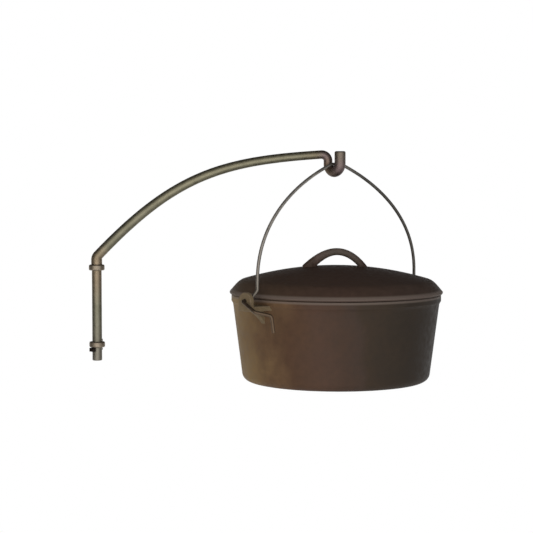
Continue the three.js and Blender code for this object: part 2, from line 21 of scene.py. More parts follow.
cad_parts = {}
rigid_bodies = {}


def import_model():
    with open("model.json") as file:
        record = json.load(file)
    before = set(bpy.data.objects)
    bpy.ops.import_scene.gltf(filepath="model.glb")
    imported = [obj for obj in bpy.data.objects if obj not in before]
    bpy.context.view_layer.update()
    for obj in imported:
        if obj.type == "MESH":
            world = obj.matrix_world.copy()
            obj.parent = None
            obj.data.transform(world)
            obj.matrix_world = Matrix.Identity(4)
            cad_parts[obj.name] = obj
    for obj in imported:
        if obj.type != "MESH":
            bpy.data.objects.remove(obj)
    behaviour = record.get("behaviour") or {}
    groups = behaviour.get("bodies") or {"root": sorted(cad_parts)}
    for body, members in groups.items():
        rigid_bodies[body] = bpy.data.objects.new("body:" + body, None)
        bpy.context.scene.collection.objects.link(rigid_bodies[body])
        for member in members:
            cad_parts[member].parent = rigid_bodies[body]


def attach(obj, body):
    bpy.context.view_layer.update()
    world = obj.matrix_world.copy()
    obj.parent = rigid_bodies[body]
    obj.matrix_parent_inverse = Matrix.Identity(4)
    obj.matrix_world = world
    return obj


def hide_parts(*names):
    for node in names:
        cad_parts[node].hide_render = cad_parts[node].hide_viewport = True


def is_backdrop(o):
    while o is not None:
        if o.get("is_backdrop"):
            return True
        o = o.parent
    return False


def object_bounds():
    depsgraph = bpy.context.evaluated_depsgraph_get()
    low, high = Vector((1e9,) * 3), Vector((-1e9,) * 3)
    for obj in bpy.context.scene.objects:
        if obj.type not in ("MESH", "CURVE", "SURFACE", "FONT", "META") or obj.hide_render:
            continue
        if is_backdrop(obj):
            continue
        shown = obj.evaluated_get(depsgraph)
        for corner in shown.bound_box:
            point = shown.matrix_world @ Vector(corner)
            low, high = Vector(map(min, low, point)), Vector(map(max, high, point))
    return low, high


for starter in list(bpy.data.objects):
    bpy.data.objects.remove(starter)
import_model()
cad_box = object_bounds()

log = logging.getLogger("hearth_crane")

MM = 0.001
# Points that lie closer together than this are merged, in metres.
MERGE = 0.002 * MM
UP = Vector((0, 0, 1))
DOWN = Vector((0, 0, -1))
RIGHT = Vector((1, 0, 0))

# The range that holds most of a noise's values, and the part of it that is drawn as stains.
MOST = {"From Min": 0.3, "From Max": 0.7}
STAINED = {"From Min": 0.42, "From Max": 0.72}
# Pointiness from a flat face to a sharp edge.
EDGES = {"From Min": 0.51, "From Max": 0.57}

# Radii and heights of a turned form, or the corners of a flat outline.
Profile = list[tuple[float, float]]
Triple = tuple[float, float, float]
# Places and hex colours.
Stops = tuple[tuple[float, str], ...]


class Body(Enum):
    """The bodies of the frame that pieces ride on."""

    WALL_EYES = "wall_eyes"
    CRANE = "crane"
    KEEPER = "keeper"
    BAIL = "bail"
    POT = "pot"
    LID = "lid"


@dataclass(frozen=True)
class Layout:
    """Sizes and places that several pieces share. The post's axis is x = y = 0 here."""

    shank_length: float = 52.0
    eye_spacing: float = 114.7
    eye_height: float = 8.4
    seat_gap: float = 0.3
    post_radius: float = 7.3
    eye_clearance: float = 0.35
    keeper_angle: float = 232.0
    keeper_head_height: float = 5.6
    elbow_stem: float = 11.4
    arm_rise: float = 152.0
    arm_reach: float = 343.2
    dip_drop: float = 13.6
    dip_bend: float = 12.2
    dip_bar_radius: float = 8.2
    bail_angle: float = 44.0
    bail_height: float = 191.2
    crown_shift: float = 5.0
    wire_radius: float = 2.4
    rim_radius: float = 155.3
    rim_band_step: float = 2.4
    pot_wall: float = 5.0
    ear_standoff: float = 24.0
    ear_plate: float = 7.0

    @property
    def shoulder_height(self) -> float:
        """Height of the post's shoulder, just above the upper eye."""
        return self.eye_spacing + self.eye_height / 2 + self.seat_gap

    @property
    def elbow_height(self) -> float:
        """Height at which the post's axis meets the arm's."""
        return self.shoulder_height + self.elbow_stem

    @property
    def arm_tip_height(self) -> float:
        """Height of the arm's axis where it turns down."""
        return self.elbow_height + self.arm_rise

    @property
    def dip_height(self) -> float:
        """Height at which the dip's bend starts and ends."""
        return self.arm_tip_height - self.dip_drop

    @property
    def dip_direction(self) -> Vector:
        """Level direction from the down-leg to the stub."""
        angle = math.radians(self.bail_angle - 90)
        return Vector((math.cos(angle), math.sin(angle), 0))

    @property
    def rim_height(self) -> float:
        """Height of the pot's rim, the ear holes and the pot's own zero."""
        seat = self.dip_height - self.dip_bend + self.dip_bar_radius
        return seat + self.seat_gap + self.wire_radius - self.bail_height

    @property
    def wall_top(self) -> float:
        """Outer radius of the pot's wall just under the rim band, produced to the rim."""
        return self.rim_radius - self.rim_band_step

    @property
    def ear_inner_face(self) -> float:
        """Distance from the pot's axis to the inner face of an ear's plate."""
        return self.rim_radius + self.ear_standoff

    @property
    def crane_axes(self) -> Matrix:
        """From the crane's axes to the frame's, in millimetres."""
        return Matrix.Translation((0, -self.shank_length, 0))

    @property
    def keeper_axes(self) -> Matrix:
        """Places the keeper, whose head points along x.

        Returns:
            From the keeper's axes to the frame's, in millimetres.
        """
        drop = self.eye_height / 2 + self.seat_gap + self.keeper_head_height / 2
        turn = Matrix.Rotation(math.radians(self.keeper_angle), 4, "Z")
        return self.crane_axes @ Matrix.Translation((0, 0, -drop)) @ turn

    @property
    def pot_axes(self) -> Matrix:
        """Places the pot under the dip, with its ears along x.

        Returns:
            From the pot's axes to the frame's, in millimetres.
        """
        turn = Matrix.Rotation(math.radians(self.bail_angle), 4, "Z")
        centre = Vector((self.arm_reach, 0, 0)) + self.dip_direction * self.dip_bend
        centre += turn @ RIGHT * self.crown_shift
        centre.z = self.rim_height
        return self.crane_axes @ Matrix.Translation(centre) @ turn


LAYOUT = Layout()


def linear(colour: str) -> tuple[float, float, float, float]:
    """Turns an sRGB hex colour to linear light.

    Args:
        colour: The colour as "#RRGGBB".

    Returns:
        Linear red, green, blue and an alpha of 1.
    """
    levels = [int(colour[start:start + 2], 16) / 255 for start in (1, 3, 5)]
    red, green, blue = (
        level / 12.92 if level <= 0.04045 else ((level + 0.055) / 1.055) ** 2.4
        for level in levels
    )
    return red, green, blue, 1.0


def per_metre(size: float) -> float:
    """Texture scale for a pattern of that size in millimetres."""
    return 1 / (size * MM)


def add_node(
    tree: NodeTree,
    kind: str,
    inputs: dict | None = None,
    out: int | str = 0,
    stops: Stops = (),
    **settings: object,
) -> NodeSocket | None:
    """Adds a node with its settings and links.

    Args:
        tree: The tree to add to.
        kind: The node's type name.
        inputs: Values or sockets for its inputs, by socket name or number.
        out: Name or number of the output that is wanted.
        stops: Places and hex colours of a colour ramp.
        settings: Properties of the node.

    Returns:
        That output of the new node, or None for a node that ends a tree.
    """
    node = tree.nodes.new(kind)
    for name, value in settings.items():
        setattr(node, name, value)
    if stops:
        elements = node.color_ramp.elements
        for element, (place, colour) in zip(elements, (stops[0], stops[-1])):
            element.position, element.color = place, linear(colour)
        for place, colour in stops[1:-1]:
            elements.new(place).color = linear(colour)
    for name, value in (inputs or {}).items():
        if isinstance(value, NodeSocket):
            tree.links.new(value, node.inputs[name])
        else:
            node.inputs[name].default_value = value
    return node.outputs[out] if node.outputs else None


def settle(piece: Object) -> Object:
    """Turns a piece's modifiers into its own mesh and removes them.

    Args:
        piece: The piece.

    Returns:
        The piece.
    """
    graph = bpy.context.evaluated_depsgraph_get()
    shaped = bpy.data.meshes.new_from_object(
        piece.evaluated_get(graph), preserve_all_data_layers=True, depsgraph=graph
    )
    piece.modifiers.clear()
    old = piece.data
    piece.data = shaped
    bpy.data.meshes.remove(old)
    shaped.name = piece.name
    return piece


def use_up(part: Object) -> None:
    """Removes a part that has gone into a piece, and its mesh.

    Args:
        part: The part.
    """
    mesh = part.data
    bpy.data.objects.remove(part)
    bpy.data.meshes.remove(mesh)


def mesh_piece(
    name: str,
    points: list[Vector],
    edges: list[tuple] = (),
    faces: list[tuple] = (),
    axes: Matrix = Matrix.Identity(4),
) -> Object:
    """Makes an object from points in millimetres.

    Args:
        name: The object's name.
        points: Points in the piece's own axes.
        edges: Loose edges.
        faces: Faces.
        axes: From the piece's axes to the frame's, in millimetres.

    Returns:
        The object, at the origin, with its place in its mesh.
    """
    mesh = bpy.data.meshes.new(name)
    mesh.from_pydata([tuple((axes @ point) * MM) for point in points], list(edges), list(faces))
    piece = bpy.data.objects.new(name, mesh)
    bpy.context.scene.collection.objects.link(piece)
    return piece


def outward(piece: Object) -> Object:
    """Merges doubled points and turns all faces outwards.

    Args:
        piece: A closed piece.

    Returns:
        The piece.
    """
    work = bmesh.new()
    work.from_mesh(piece.data)
    bmesh.ops.remove_doubles(work, verts=work.verts, dist=MERGE)
    bmesh.ops.recalc_face_normals(work, faces=work.faces)
    work.to_mesh(piece.data)
    work.free()
    return piece


def lofted(name: str, rings: list[list[Vector]], axes: Matrix) -> Object:
    """Makes a closed solid with flat ends through a row of rings.

    Args:
        name: The object's name.
        rings: Rings of the same number of points.
        axes: From the rings' axes to the frame's.

    Returns:
        The solid.
    """
    count = len(rings[0])
    points = [point for ring in rings for point in ring]
    faces = [tuple(reversed(range(count))), tuple(range(len(points) - count, len(points)))]
    for low in range(0, len(points) - count, count):
        for corner in range(count):
            after = (corner + 1) % count
            faces.append((low + corner, low + after, low + after + count, low + corner + count))
    return outward(mesh_piece(name, points, faces=faces, axes=axes))


def drawn_out(
    name: str, outline: Profile, axis: int, ends: tuple[float, float], axes: Matrix
) -> Object:
    """Makes a closed solid by drawing a flat outline out along one axis.

    Args:
        name: The object's name.
        outline: Corners, by the two other coordinates in their order.
        axis: Number of the axis that it is drawn out along.
        ends: Where it starts and ends on that axis.
        axes: From the outline's axes to the frame's.

    Returns:
        The solid.
    """
    rings = [[Vector((*spot[:axis], end, *spot[axis:])) for spot in outline] for end in ends]
    return lofted(name, rings, axes)


def fused(name: str, parts: list[Object], finish: Material, grain: float, passes: int) -> Object:
    """Joins overlapping closed parts to one skin whose corners and joints are softly rounded.

    Args:
        name: The new piece's name.
        parts: Closed parts, which are used up.
        finish: The piece's material.
        grain: Size of the skin's faces in millimetres.
        passes: Number of smoothing passes.

    Returns:
        The one piece.
    """
    work = bmesh.new()
    for part in parts:
        work.from_mesh(part.data)
        use_up(part)
    piece = mesh_piece(name, [])
    work.to_mesh(piece.data)
    work.free()
    skin = piece.modifiers.new("skin", "REMESH")
    skin.mode = "VOXEL"
    skin.voxel_size = grain * MM
    skin.use_smooth_shade = True
    soften = piece.modifiers.new("soften", "SMOOTH")
    soften.factor = 0.5
    soften.iterations = passes
    settle(piece)
    piece.data.materials.clear()
    piece.data.materials.append(finish)
    return piece


def cut(piece: Object, tool: Object) -> None:
    """Cuts a tool's shape out of a piece and removes the tool.

    Args:
        piece: The piece.
        tool: A closed solid.
    """
    modifier = piece.modifiers.new("cut", "BOOLEAN")
    modifier.operation = "DIFFERENCE"
    modifier.solver = "EXACT"
    modifier.object = tool
    settle(piece)
    use_up(tool)


def dress(piece: Object, body: Body, slot: str, *nodes: str, crease: float = 40) -> None:
    """Finishes a piece: creases, body and the nodes that it stands for.

    Args:
        piece: The piece.
        body: The body it rides on.
        slot: The record's material slot. Not used.
        nodes: The frame's nodes that it replaces.
        crease: Angle in degrees above which an edge stays sharp.
    """
    piece.data.set_sharp_from_angle(angle=math.radians(crease))
    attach(piece, body.value)
    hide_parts(*nodes)
    log.info("%s: %d faces on body %s", piece.name, len(piece.data.polygons), body.value)


def shares(steps: int, start: float = 0.0) -> list[float]:
    """Even steps from a start to 1, with both ends."""
    return [start + (1 - start) * step / steps for step in range(steps + 1)]


def curve(controls: list[Vector], steps: int) -> list[Vector]:
    """Draws a smooth curve.

    Args:
        controls: Its start, the points that pull it, and its end.
        steps: Number of steps along it.

    Returns:
        Its points, with both ends.
    """
    line = []
    for share in shares(steps):
        row = controls
        while len(row) > 1:
            row = [first.lerp(second, share) for first, second in zip(row, row[1:])]
        line.append(row[0])
    return line


def arc(radius: float, height: float, size: float, start: float, end: float, steps: int) -> Profile:
    """Draws a round corner in a profile.

    Args:
        radius: Radius at which the corner's centre lies.
        height: Height at which it lies.
        size: The corner's own radius.
        start: Angle at which it starts, in degrees.
        end: Angle at which it ends.
        steps: Number of steps along it.

    Returns:
        Its points.
    """
    angles = [math.radians(start + (end - start) * share) for share in shares(steps)]
    return [(radius + size * math.cos(a), height + size * math.sin(a)) for a in angles]


def spaced(profile: Profile, longest: float) -> Profile:
    """Splits a profile's long straight runs.

    Args:
        profile: Its points.
        longest: The longest step that is left, in millimetres.

    Returns:
        The points with those added.
    """
    points = [profile[0]]
    for start, end in zip(profile, profile[1:]):
        steps = max(1, math.ceil(math.dist(start, end) / longest))
        for share in shares(steps)[1:]:
            points.append(tuple(a + (b - a) * share for a, b in zip(start, end)))
    return points


class BarRoute:
    """The route of a round bar: its points, its radius at each, and its direction at the end."""

    def __init__(self, point: Vector, direction: Vector, radius: float) -> None:
        """Starts the route.

        Args:
            point: Its first point.
            direction: The direction in which it sets out.
            radius: The bar's radius there.
        """
        self.points = [point]
        self.radii = [radius]
        self.direction = direction

    @property
    def steps(self) -> list[float]:
        """Distances from each point to the next, in millimetres."""
        return [(end - start).length for start, end in zip(self.points, self.points[1:])]

    def add(self, points: list[Vector], radius: float | None = None) -> None:
        """Adds points, over which the bar's radius changes evenly.

        Args:
            points: The points.
            radius: The bar's radius at the last one, where it changes.
        """
        first = self.radii[-1]
        last = first if radius is None else radius
        self.points += points
        self.radii += [first + (last - first) * share for share in shares(len(points))[1:]]

    def line_to(self, point: Vector, steps: int) -> None:
        """Adds a straight run to a point in a number of steps."""
        self.direction = (point - self.points[-1]).normalized()
        self.add(curve([self.points[-1], point], steps)[1:])

    def curve_to(
        self, pulls: list[Vector], end: Vector, steps: int, radius: float | None = None
    ) -> None:
        """Adds a smooth curve.

        Args:
            pulls: The points that pull it.
            end: The point at which it ends.
            steps: Number of steps along it.
            radius: The bar's radius at its end, where it changes.
        """
        self.add(curve([self.points[-1], *pulls, end], steps)[1:], radius)
        self.direction = (end - pulls[-1]).normalized()

    def bend(
        self, inward: Vector, size: float, angle: float, steps: int, radius: float | None = None
    ) -> None:
        """Adds a round bend.

        Args:
            inward: Direction towards the bend's centre, square to the bar.
            size: Radius of the bend along the bar's axis.
            angle: Angle of the bend in radians.
            steps: Number of steps round it.
            radius: The bar's radius at its end, where it changes.
        """
        base, along = self.points[-1], self.direction
        turns = [angle * share for share in shares(steps)[1:]]
        offsets = [along * math.sin(turn) + inward * (1 - math.cos(turn)) for turn in turns]
        self.add([base + offset * size for offset in offsets], radius)
        self.direction = along * math.cos(angle) + inward * math.sin(angle)

    def corner_at(
        self, corner: Vector, target: Vector, size: float, steps: int, radius: float | None = None
    ) -> None:
        """Adds a straight run and a rounded corner.

        Args:
            corner: The point that the corner rounds.
            target: The point that it turns towards.
            size: Radius of the bend along the bar's axis.
            steps: Number of steps round it.
            radius: The bar's radius at its end, where it changes.
        """
        before = (corner - self.points[-1]).normalized()
        after = (target - corner).normalized()
        angle = before.angle(after)
        self.line_to(corner - before * size * math.tan(angle / 2), 2)
        self.direction = before
        self.bend((after - before * after.dot(before)).normalized(), size, angle, steps, radius)

    def round_end(self, size: float, full: float, opening: bool, steps: int = 5) -> None:
        """Adds a rounded edge at one end of the bar.

        Args:
            size: Radius of the edge.
            full: Radius of the bar beside it.
            opening: True where the bar begins, false where it ends.
            steps: Number of steps round it.
        """
        base = self.points[-1]
        for share in shares(steps)[1:]:
            angle = math.pi / 2 * share
            rise, fall = math.sin(angle), 1 - math.cos(angle)
            ahead, inset = (fall, 1 - rise) if opening else (rise, fall)
            self.add([base + self.direction * (size * ahead)], full - size * inset)

    def piece(self, name: str, axes: Matrix) -> Object:
        """Makes the chain of points that the sweeping tree turns into a bar.

        Args:
            name: The new object's name.
            axes: From the route's axes to the frame's, in millimetres.

        Returns:
            The chain, with bar_radius and route attributes in metres.
        """
        chain = [(i, i + 1) for i in range(len(self.points) - 1)]
        line = mesh_piece(name, self.points, edges=chain, axes=axes)
        travelled = accumulate(self.steps, initial=0.0)
        for attribute, values in (("bar_radius", self.radii), ("route", travelled)):
            layer = line.data.attributes.new(attribute, "FLOAT", "POINT")
            layer.data.foreach_set("value", [value * MM for value in values])
        return line


class Tree:
    """A geometry node tree for a form with the marks of its making, and its use on a piece."""

    SIZES = {
        "Geometry": "NodeSocketGeometry",
        "Sides": "NodeSocketInt",
        "Mark depth": "NodeSocketFloat",
        "Mark size": "NodeSocketFloat",
        "Seed": "NodeSocketFloat",
        "Finish": "NodeSocketMaterial",
    }

    def __init__(self, name: str) -> None:
        """Starts the tree with its inputs.

        Args:
            name: The tree's name.
        """
        self.nodes = bpy.data.node_groups.new(name, "GeometryNodeTree")
        face = self.nodes.interface
        for size, kind in self.SIZES.items():
            face.new_socket(size, in_out="INPUT", socket_type=kind)
        face.new_socket("Geometry", in_out="OUTPUT", socket_type="NodeSocketGeometry")
        self.add = partial(add_node, self.nodes)
        self.given = self.add("NodeGroupInput").node.outputs

    def end(self, mesh: NodeSocket) -> None:
        """Sinks the form's skin by a soft uneven depth, as hammer or mould leaves it, and dresses it.

        Args:
            mesh: The plain form. No point of it moves outwards.
        """
        add, given = self.add, self.given
        scale = add("ShaderNodeMath", {0: 1.0, 1: given["Mark size"]}, operation="DIVIDE")
        noise = add(
            "ShaderNodeTexNoise",
            {"Vector": add("GeometryNodeInputPosition"), "W": given["Seed"], "Scale": scale,
             "Detail": 1.5},
            noise_dimensions="4D",
        )
        depth = add("ShaderNodeMath", {0: noise, 1: given["Mark depth"]}, operation="MULTIPLY")
        inwards = add("ShaderNodeMath", {0: depth, 1: -1.0}, operation="MULTIPLY")
        normal = add("GeometryNodeInputNormal")
        sink = add("ShaderNodeVectorMath", {0: normal, "Scale": inwards}, operation="SCALE")
        worked = add("GeometryNodeSetPosition", {"Geometry": mesh, "Offset": sink})
        smooth = add("GeometryNodeSetShadeSmooth", {"Geometry": worked})
        real = add("GeometryNodeRealizeInstances", {"Geometry": smooth})
        dressed = add("GeometryNodeSetMaterial", {"Geometry": real, "Material": given["Finish"]})
        add("NodeGroupOutput", {"Geometry": dressed})

    def apply(
        self, piece: Object, finish: Material, sides: int,
        depth: float = 0.0, size: float = 1.0, seed: float = 0.0,
    ) -> Object:
        """Runs the tree on a piece and keeps the result as its plain mesh.

        Args:
            piece: The object whose mesh is the tree's input.
            finish: The piece's material.
            sides: Number of sides round the form.
            depth: Depth of the marks in millimetres.
            size: Size of the marks in millimetres.
            seed: Seed of their pattern.

        Returns:
            The piece.
        """
        values = {"Sides": sides, "Mark depth": depth * MM, "Mark size": size * MM,
                  "Seed": seed, "Finish": finish}
        modifier = piece.modifiers.new("form", "NODES")
        modifier.node_group = self.nodes
        for item in self.nodes.interface.items_tree:
            if item.in_out == "INPUT" and item.name in values:
                modifier[item.identifier] = values[item.name]
        return settle(piece)


class Turner(Tree):
    """The tree that turns a profile, given as points with x as radius, about the z axis."""

    def __init__(self) -> None:
        """Builds the tree. It wraps a grid round the axis, with a row for each point."""
        super().__init__("turned_form")
        add, profile, sides = self.add, self.given["Geometry"], self.given["Sides"]
        rows = add("GeometryNodeAttributeDomainSize", {"Geometry": profile}, out="Point Count")
        columns = add("ShaderNodeMath", {0: sides, 1: 1.0}, operation="ADD")
        grid = add(
            "GeometryNodeMeshGrid",
            {"Size X": 1.0, "Size Y": 1.0, "Vertices X": columns, "Vertices Y": rows},
            out="Mesh",
        )
        index = add("GeometryNodeInputIndex")
        middle = add("ShaderNodeMath", {0: index, 1: 0.5}, operation="ADD")
        passed = add("ShaderNodeMath", {0: middle, 1: rows}, operation="DIVIDE")
        column = add("ShaderNodeMath", {0: passed}, operation="FLOOR")
        before = add("ShaderNodeMath", {0: column, 1: rows}, operation="MULTIPLY")
        row = add("ShaderNodeMath", {0: index, 1: before}, operation="SUBTRACT")
        spot = add(
            "GeometryNodeSampleIndex",
            {"Geometry": profile, "Value": add("GeometryNodeInputPosition"), "Index": row},
            data_type="FLOAT_VECTOR",
            domain="POINT",
        )
        radius, _, height = add("ShaderNodeSeparateXYZ", {0: spot}).node.outputs
        share = add("ShaderNodeMath", {0: column, 1: sides}, operation="DIVIDE")
        turn = add("ShaderNodeMath", {0: share, 1: math.tau}, operation="MULTIPLY")
        place = {"Z": height}
        for axis, operation in (("X", "COSINE"), ("Y", "SINE")):
            side = add("ShaderNodeMath", {0: turn}, operation=operation)
            place[axis] = add("ShaderNodeMath", {0: radius, 1: side}, operation="MULTIPLY")
        wrapped = add(
            "GeometryNodeSetPosition",
            {"Geometry": grid, "Position": add("ShaderNodeCombineXYZ", place)},
        )
        self.end(add("GeometryNodeMergeByDistance", {"Geometry": wrapped, "Distance": MERGE}))

    def turned(
        self, name: str, profile: Profile, axes: Matrix,
        finish: Material, sides: int, **marks: float,
    ) -> Object:
        """Turns a profile to a piece in its place.

        Args:
            name: The piece's name.
            profile: Radii and heights.
            axes: From the profile's axes to the frame's.
            finish: The piece's material.
            sides: Number of sides round it.
            marks: Depth, size and seed of the marks.

        Returns:
            The piece.
        """
        piece = mesh_piece(name, [Vector((radius, 0, height)) for radius, height in profile])
        self.apply(piece, finish, sides, **marks)
        place = axes.copy()
        place.translation *= MM
        piece.data.transform(place)
        return piece


class Sweeper(Tree):
    """The tree that sweeps a round bar along a chain of points with a bar_radius attribute."""

    def __init__(self) -> None:
        """Builds the tree."""
        super().__init__("swept_bar")
        add, given = self.add, self.given
        line = add("GeometryNodeMeshToCurve", {"Mesh": given["Geometry"]})
        radius = add("GeometryNodeInputNamedAttribute", {"Name": "bar_radius"}, data_type="FLOAT")
        section = add("GeometryNodeCurvePrimitiveCircle", {"Resolution": given["Sides"], "Radius": 1.0})
        bar = add(
            "GeometryNodeCurveToMesh",
            {"Curve": add("GeometryNodeSetCurveNormal", {"Curve": line}),
             "Profile Curve": section, "Scale": radius, "Fill Caps": True},
        )
        self.end(bar)

    def rod(
        self, name: str, ends: tuple[float, float], radius: float, axes: Matrix,
        finish: Material, height: float = 0.0, sides: int = 24, steps: int = 1,
    ) -> Object:
        """Makes a plain straight rod along x.

        Args:
            name: The object's name.
            ends: Where it starts and ends.
            radius: Its radius.
            axes: From the rod's axes to the frame's.
            finish: Its material.
            height: Its height.
            sides: Number of sides round it.
            steps: Number of steps along it.

        Returns:
            The rod.
        """
        start, end = (Vector((place, 0, height)) for place in ends)
        route = BarRoute(start, RIGHT, radius)
        route.line_to(end, steps)
        return self.apply(route.piece(name, axes), finish, sides)


@dataclass(frozen=True, kw_only=True)
class IronFinish:
    """What every finish here shares: an uneven tone, a gloss that follows it and a fine relief.

    Sizes and depths are in millimetres, and the tones are factors of the film's colour.
    """

    name: str
    tones: tuple[float, float]
    tone_size: float
    smooth: float = 0.5
    rough: float
    relief_size: float
    relief_depth: float
    relief_detail: float
    relief_strength: float
    metallic: float
    gloss: float

    def material(self) -> Material:
        """Builds the node material.

        Returns:
            The material.
        """
        material = bpy.data.materials.new(self.name)
        material.use_nodes = True
        tree = material.node_tree
        add = partial(add_node, tree)
        place = add("ShaderNodeTexCoord", out="Object")
        pattern = add(
            "ShaderNodeTexNoise",
            {"Vector": place, "Scale": per_metre(self.tone_size), "Detail": 6.0},
        )
        tone, roughness = (
            add("ShaderNodeMapRange", {"Value": pattern, **MOST, "To Min": low, "To Max": high})
            for low, high in (self.tones, (self.smooth, self.rough))
        )
        film = self.film_colour(tree, place)
        toned = add("ShaderNodeVectorMath", {0: film, "Scale": tone}, operation="SCALE")
        relief = add(
            "ShaderNodeTexNoise",
            {"Vector": place, "Scale": per_metre(self.relief_size), "Detail": self.relief_detail},
        )
        bump = add(
            "ShaderNodeBump",
            {"Height": relief, "Distance": self.relief_depth * MM,
             "Strength": self.relief_strength},
        )
        inputs = tree.nodes["Principled BSDF"].inputs
        tree.links.new(self.wear_and_highlight_colour(tree, place, toned), inputs["Base Color"])
        tree.links.new(roughness, inputs["Roughness"])
        tree.links.new(bump, inputs["Normal"])
        inputs["Metallic"].default_value = self.metallic
        inputs["Specular IOR Level"].default_value = self.gloss
        return material

    def film_colour(self, tree: NodeTree, place: NodeSocket) -> NodeSocket:
        """The film's colour, which each finish draws in its own way."""
        raise NotImplementedError

    def wear_and_highlight_colour(self, tree: NodeTree, place: NodeSocket, colour: NodeSocket) -> NodeSocket:
        """The film's colour with its wear and painted highlights. Without them it stays as it is."""
        return colour


@dataclass(frozen=True, kw_only=True)
class ForgedSteel(IronFinish):
    """Mild steel bar, forged hot and wiped with oil.

    A thin grey-olive oxide film is left where the bar stayed cool. The tints name colours by
    distance along the bar: on the crane bar, tan and purple temper colours where it was last heated;
    on the wire, grease on the tails, a pale front leg that is a painted reflection and a dark back leg
    that is painted shade. The scale's pits are finer on the real bar, and are drawn as coarse as they
    need to show.
    """

    name: str = "forged_mild_steel"
    film: str = "#807C69"
    stain: str = "#4A4737"
    stain_size: float = 16.0
    stain_share: float = 0.35
    tints: Stops = ()
    length: float = 1.0
    tones: tuple[float, float] = (0.96, 1.2)
    tone_size: float = 5.0
    rough: float = 0.6
    relief_size: float = 2.0
    relief_depth: float = 0.025
    relief_detail: float = 3.0
    relief_strength: float = 0.3
    metallic: float = 1.0
    gloss: float = 0.5

    def film_colour(self, tree: NodeTree, place: NodeSocket) -> NodeSocket:
        """Draws the oxide film, its tints along the bar and its stains.

        Args:
            tree: The material's node tree.
            place: The point on the object.

        Returns:
            The colour.
        """
        add = partial(add_node, tree)
        film = linear(self.film)
        if self.tints:
            route = add("ShaderNodeAttribute", out="Fac", attribute_name="route")
            share = add("ShaderNodeMapRange", {"Value": route, "From Max": self.length * MM})
            stops = [(along / self.length, colour) for along, colour in self.tints]
            film = add("ShaderNodeValToRGB", {"Fac": share}, stops=stops)
        stains = add(
            "ShaderNodeTexNoise",
            {"Vector": place, "Scale": per_metre(self.stain_size), "Detail": 5.0},
        )
        amount = add("ShaderNodeMapRange", {"Value": stains, **STAINED, "To Max": self.stain_share})
        mixed = {0: amount, 6: film, 7: linear(self.stain)}
        return add("ShaderNodeMix", mixed, out=2, data_type="RGBA")


@dataclass(frozen=True, kw_only=True)
class SeasonedIron(IronFinish):
    """Grey iron cast in sand and seasoned with many coats of burnt oil.

    The brown-black film runs from olive-tan on one side through red-brown to its deepest on the
    other side. This is partly its own hues and partly painted side light on the paler minus-x side and
    painted shade on the darker plus-x side. It has soft mottles over a fine sand grain, and a low
    sheen. The films name their place by distance from the casting's axis, along X. Edges are painted
    paler, partly as edge wear and partly as a painted highlight. A band round the height that is named
    is painted bright as a painted highlight. Moulding sand is finer, and is drawn as coarse as it
    needs to show.
    """

    films: Stops
    axis_x: float = LAYOUT.pot_axes.translation.x
    reach: float = 156.0
    wander: float = 22.0
    patch_size: float = 85.0
    # Edges are painted paler: partly edge wear, partly a painted highlight.
    edge_wear_and_highlight: str = "#6E625B"
    edge_wear_and_highlight_share: float = 0.5
    # A band round the named height, painted bright: a painted highlight on the lip.
    highlighted: str = "#6A5F58"
    highlight_share: float = 0.6
    highlight_height: float = 0.0
    highlight_reach: float = 0.0
    highlight_core: float = 0.0
    tones: tuple[float, float] = (0.9, 1.1)
    tone_size: float = 9.0
    rough: float = 0.68
    relief_size: float = 1.3
    relief_depth: float = 0.12
    relief_detail: float = 4.0
    relief_strength: float = 0.7
    metallic: float = 0.0
    gloss: float = 0.12

    def film_colour(self, tree: NodeTree, place: NodeSocket) -> NodeSocket:
        """Draws the films side by side, with edges that wander. They are partly the film's own hues and
        partly painted side light and shade: paler on the minus-x side, darker on the plus-x side.

        Args:
            tree: The material's node tree.
            place: The point on the object.

        Returns:
            The colour.
        """
        add = partial(add_node, tree)
        patches = add(
            "ShaderNodeTexNoise",
            {"Vector": place, "Scale": per_metre(self.patch_size), "Detail": 3.0},
        )
        sway = self.wander * MM
        drift = add("ShaderNodeMapRange", {"Value": patches, **MOST, "To Min": -sway, "To Max": sway})
        along = add("ShaderNodeSeparateXYZ", {"Vector": place}, out="X")
        moved = add("ShaderNodeMath", {0: along, 1: drift}, operation="ADD")
        share = add(
            "ShaderNodeMapRange",
            {"Value": moved, "From Min": (self.axis_x - self.reach) * MM,
             "From Max": (self.axis_x + self.reach) * MM},
        )
        # The films darken from minus x to plus x: partly their own hues, partly painted side light and
        # shade.
        stops = [(0.5 + x / self.reach / 2, colour) for x, colour in self.films]
        return add("ShaderNodeValToRGB", {"Fac": share}, stops=stops)

    def wear_and_highlight_colour(self, tree: NodeTree, place: NodeSocket, colour: NodeSocket) -> NodeSocket:
        """Brightens the film at the edges, partly as edge wear and partly as a painted highlight, and
        paints a highlight in a band round the named height.

        Args:
            tree: The material's node tree.
            place: The point on the object.
            colour: The film's colour.

        Returns:
            The colour with its wear and painted highlights.
        """
        add = partial(add_node, tree)
        # Paler edges: partly edge wear, partly a painted highlight.
        edges = add("ShaderNodeNewGeometry", out="Pointiness")
        edge_wear_and_highlight_mask = add("ShaderNodeMapRange", {"Value": edges, **EDGES, "To Max": self.edge_wear_and_highlight_share})
        mixes = [(edge_wear_and_highlight_mask, self.edge_wear_and_highlight)]
        # A painted highlight in a band round the named height.
        if self.highlight_reach:
            height = add("ShaderNodeSeparateXYZ", {"Vector": place}, out="Z")
            above = {0: height, 1: -self.highlight_height * MM}
            gap = add("ShaderNodeMath", {0: add("ShaderNodeMath", above, operation="ADD")},
                      operation="ABSOLUTE")
            highlight_mask = add(
                "ShaderNodeMapRange",
                {"Value": gap, "From Min": self.highlight_reach * MM,
                 "From Max": self.highlight_core * MM, "To Max": self.highlight_share},
            )
            mixes.append((highlight_mask, self.highlighted))
        for share, paler in mixes:
            mixed = {0: share, 6: colour, 7: linear(paler)}
            colour = add("ShaderNodeMix", mixed, out=2, data_type="RGBA")
        return colour


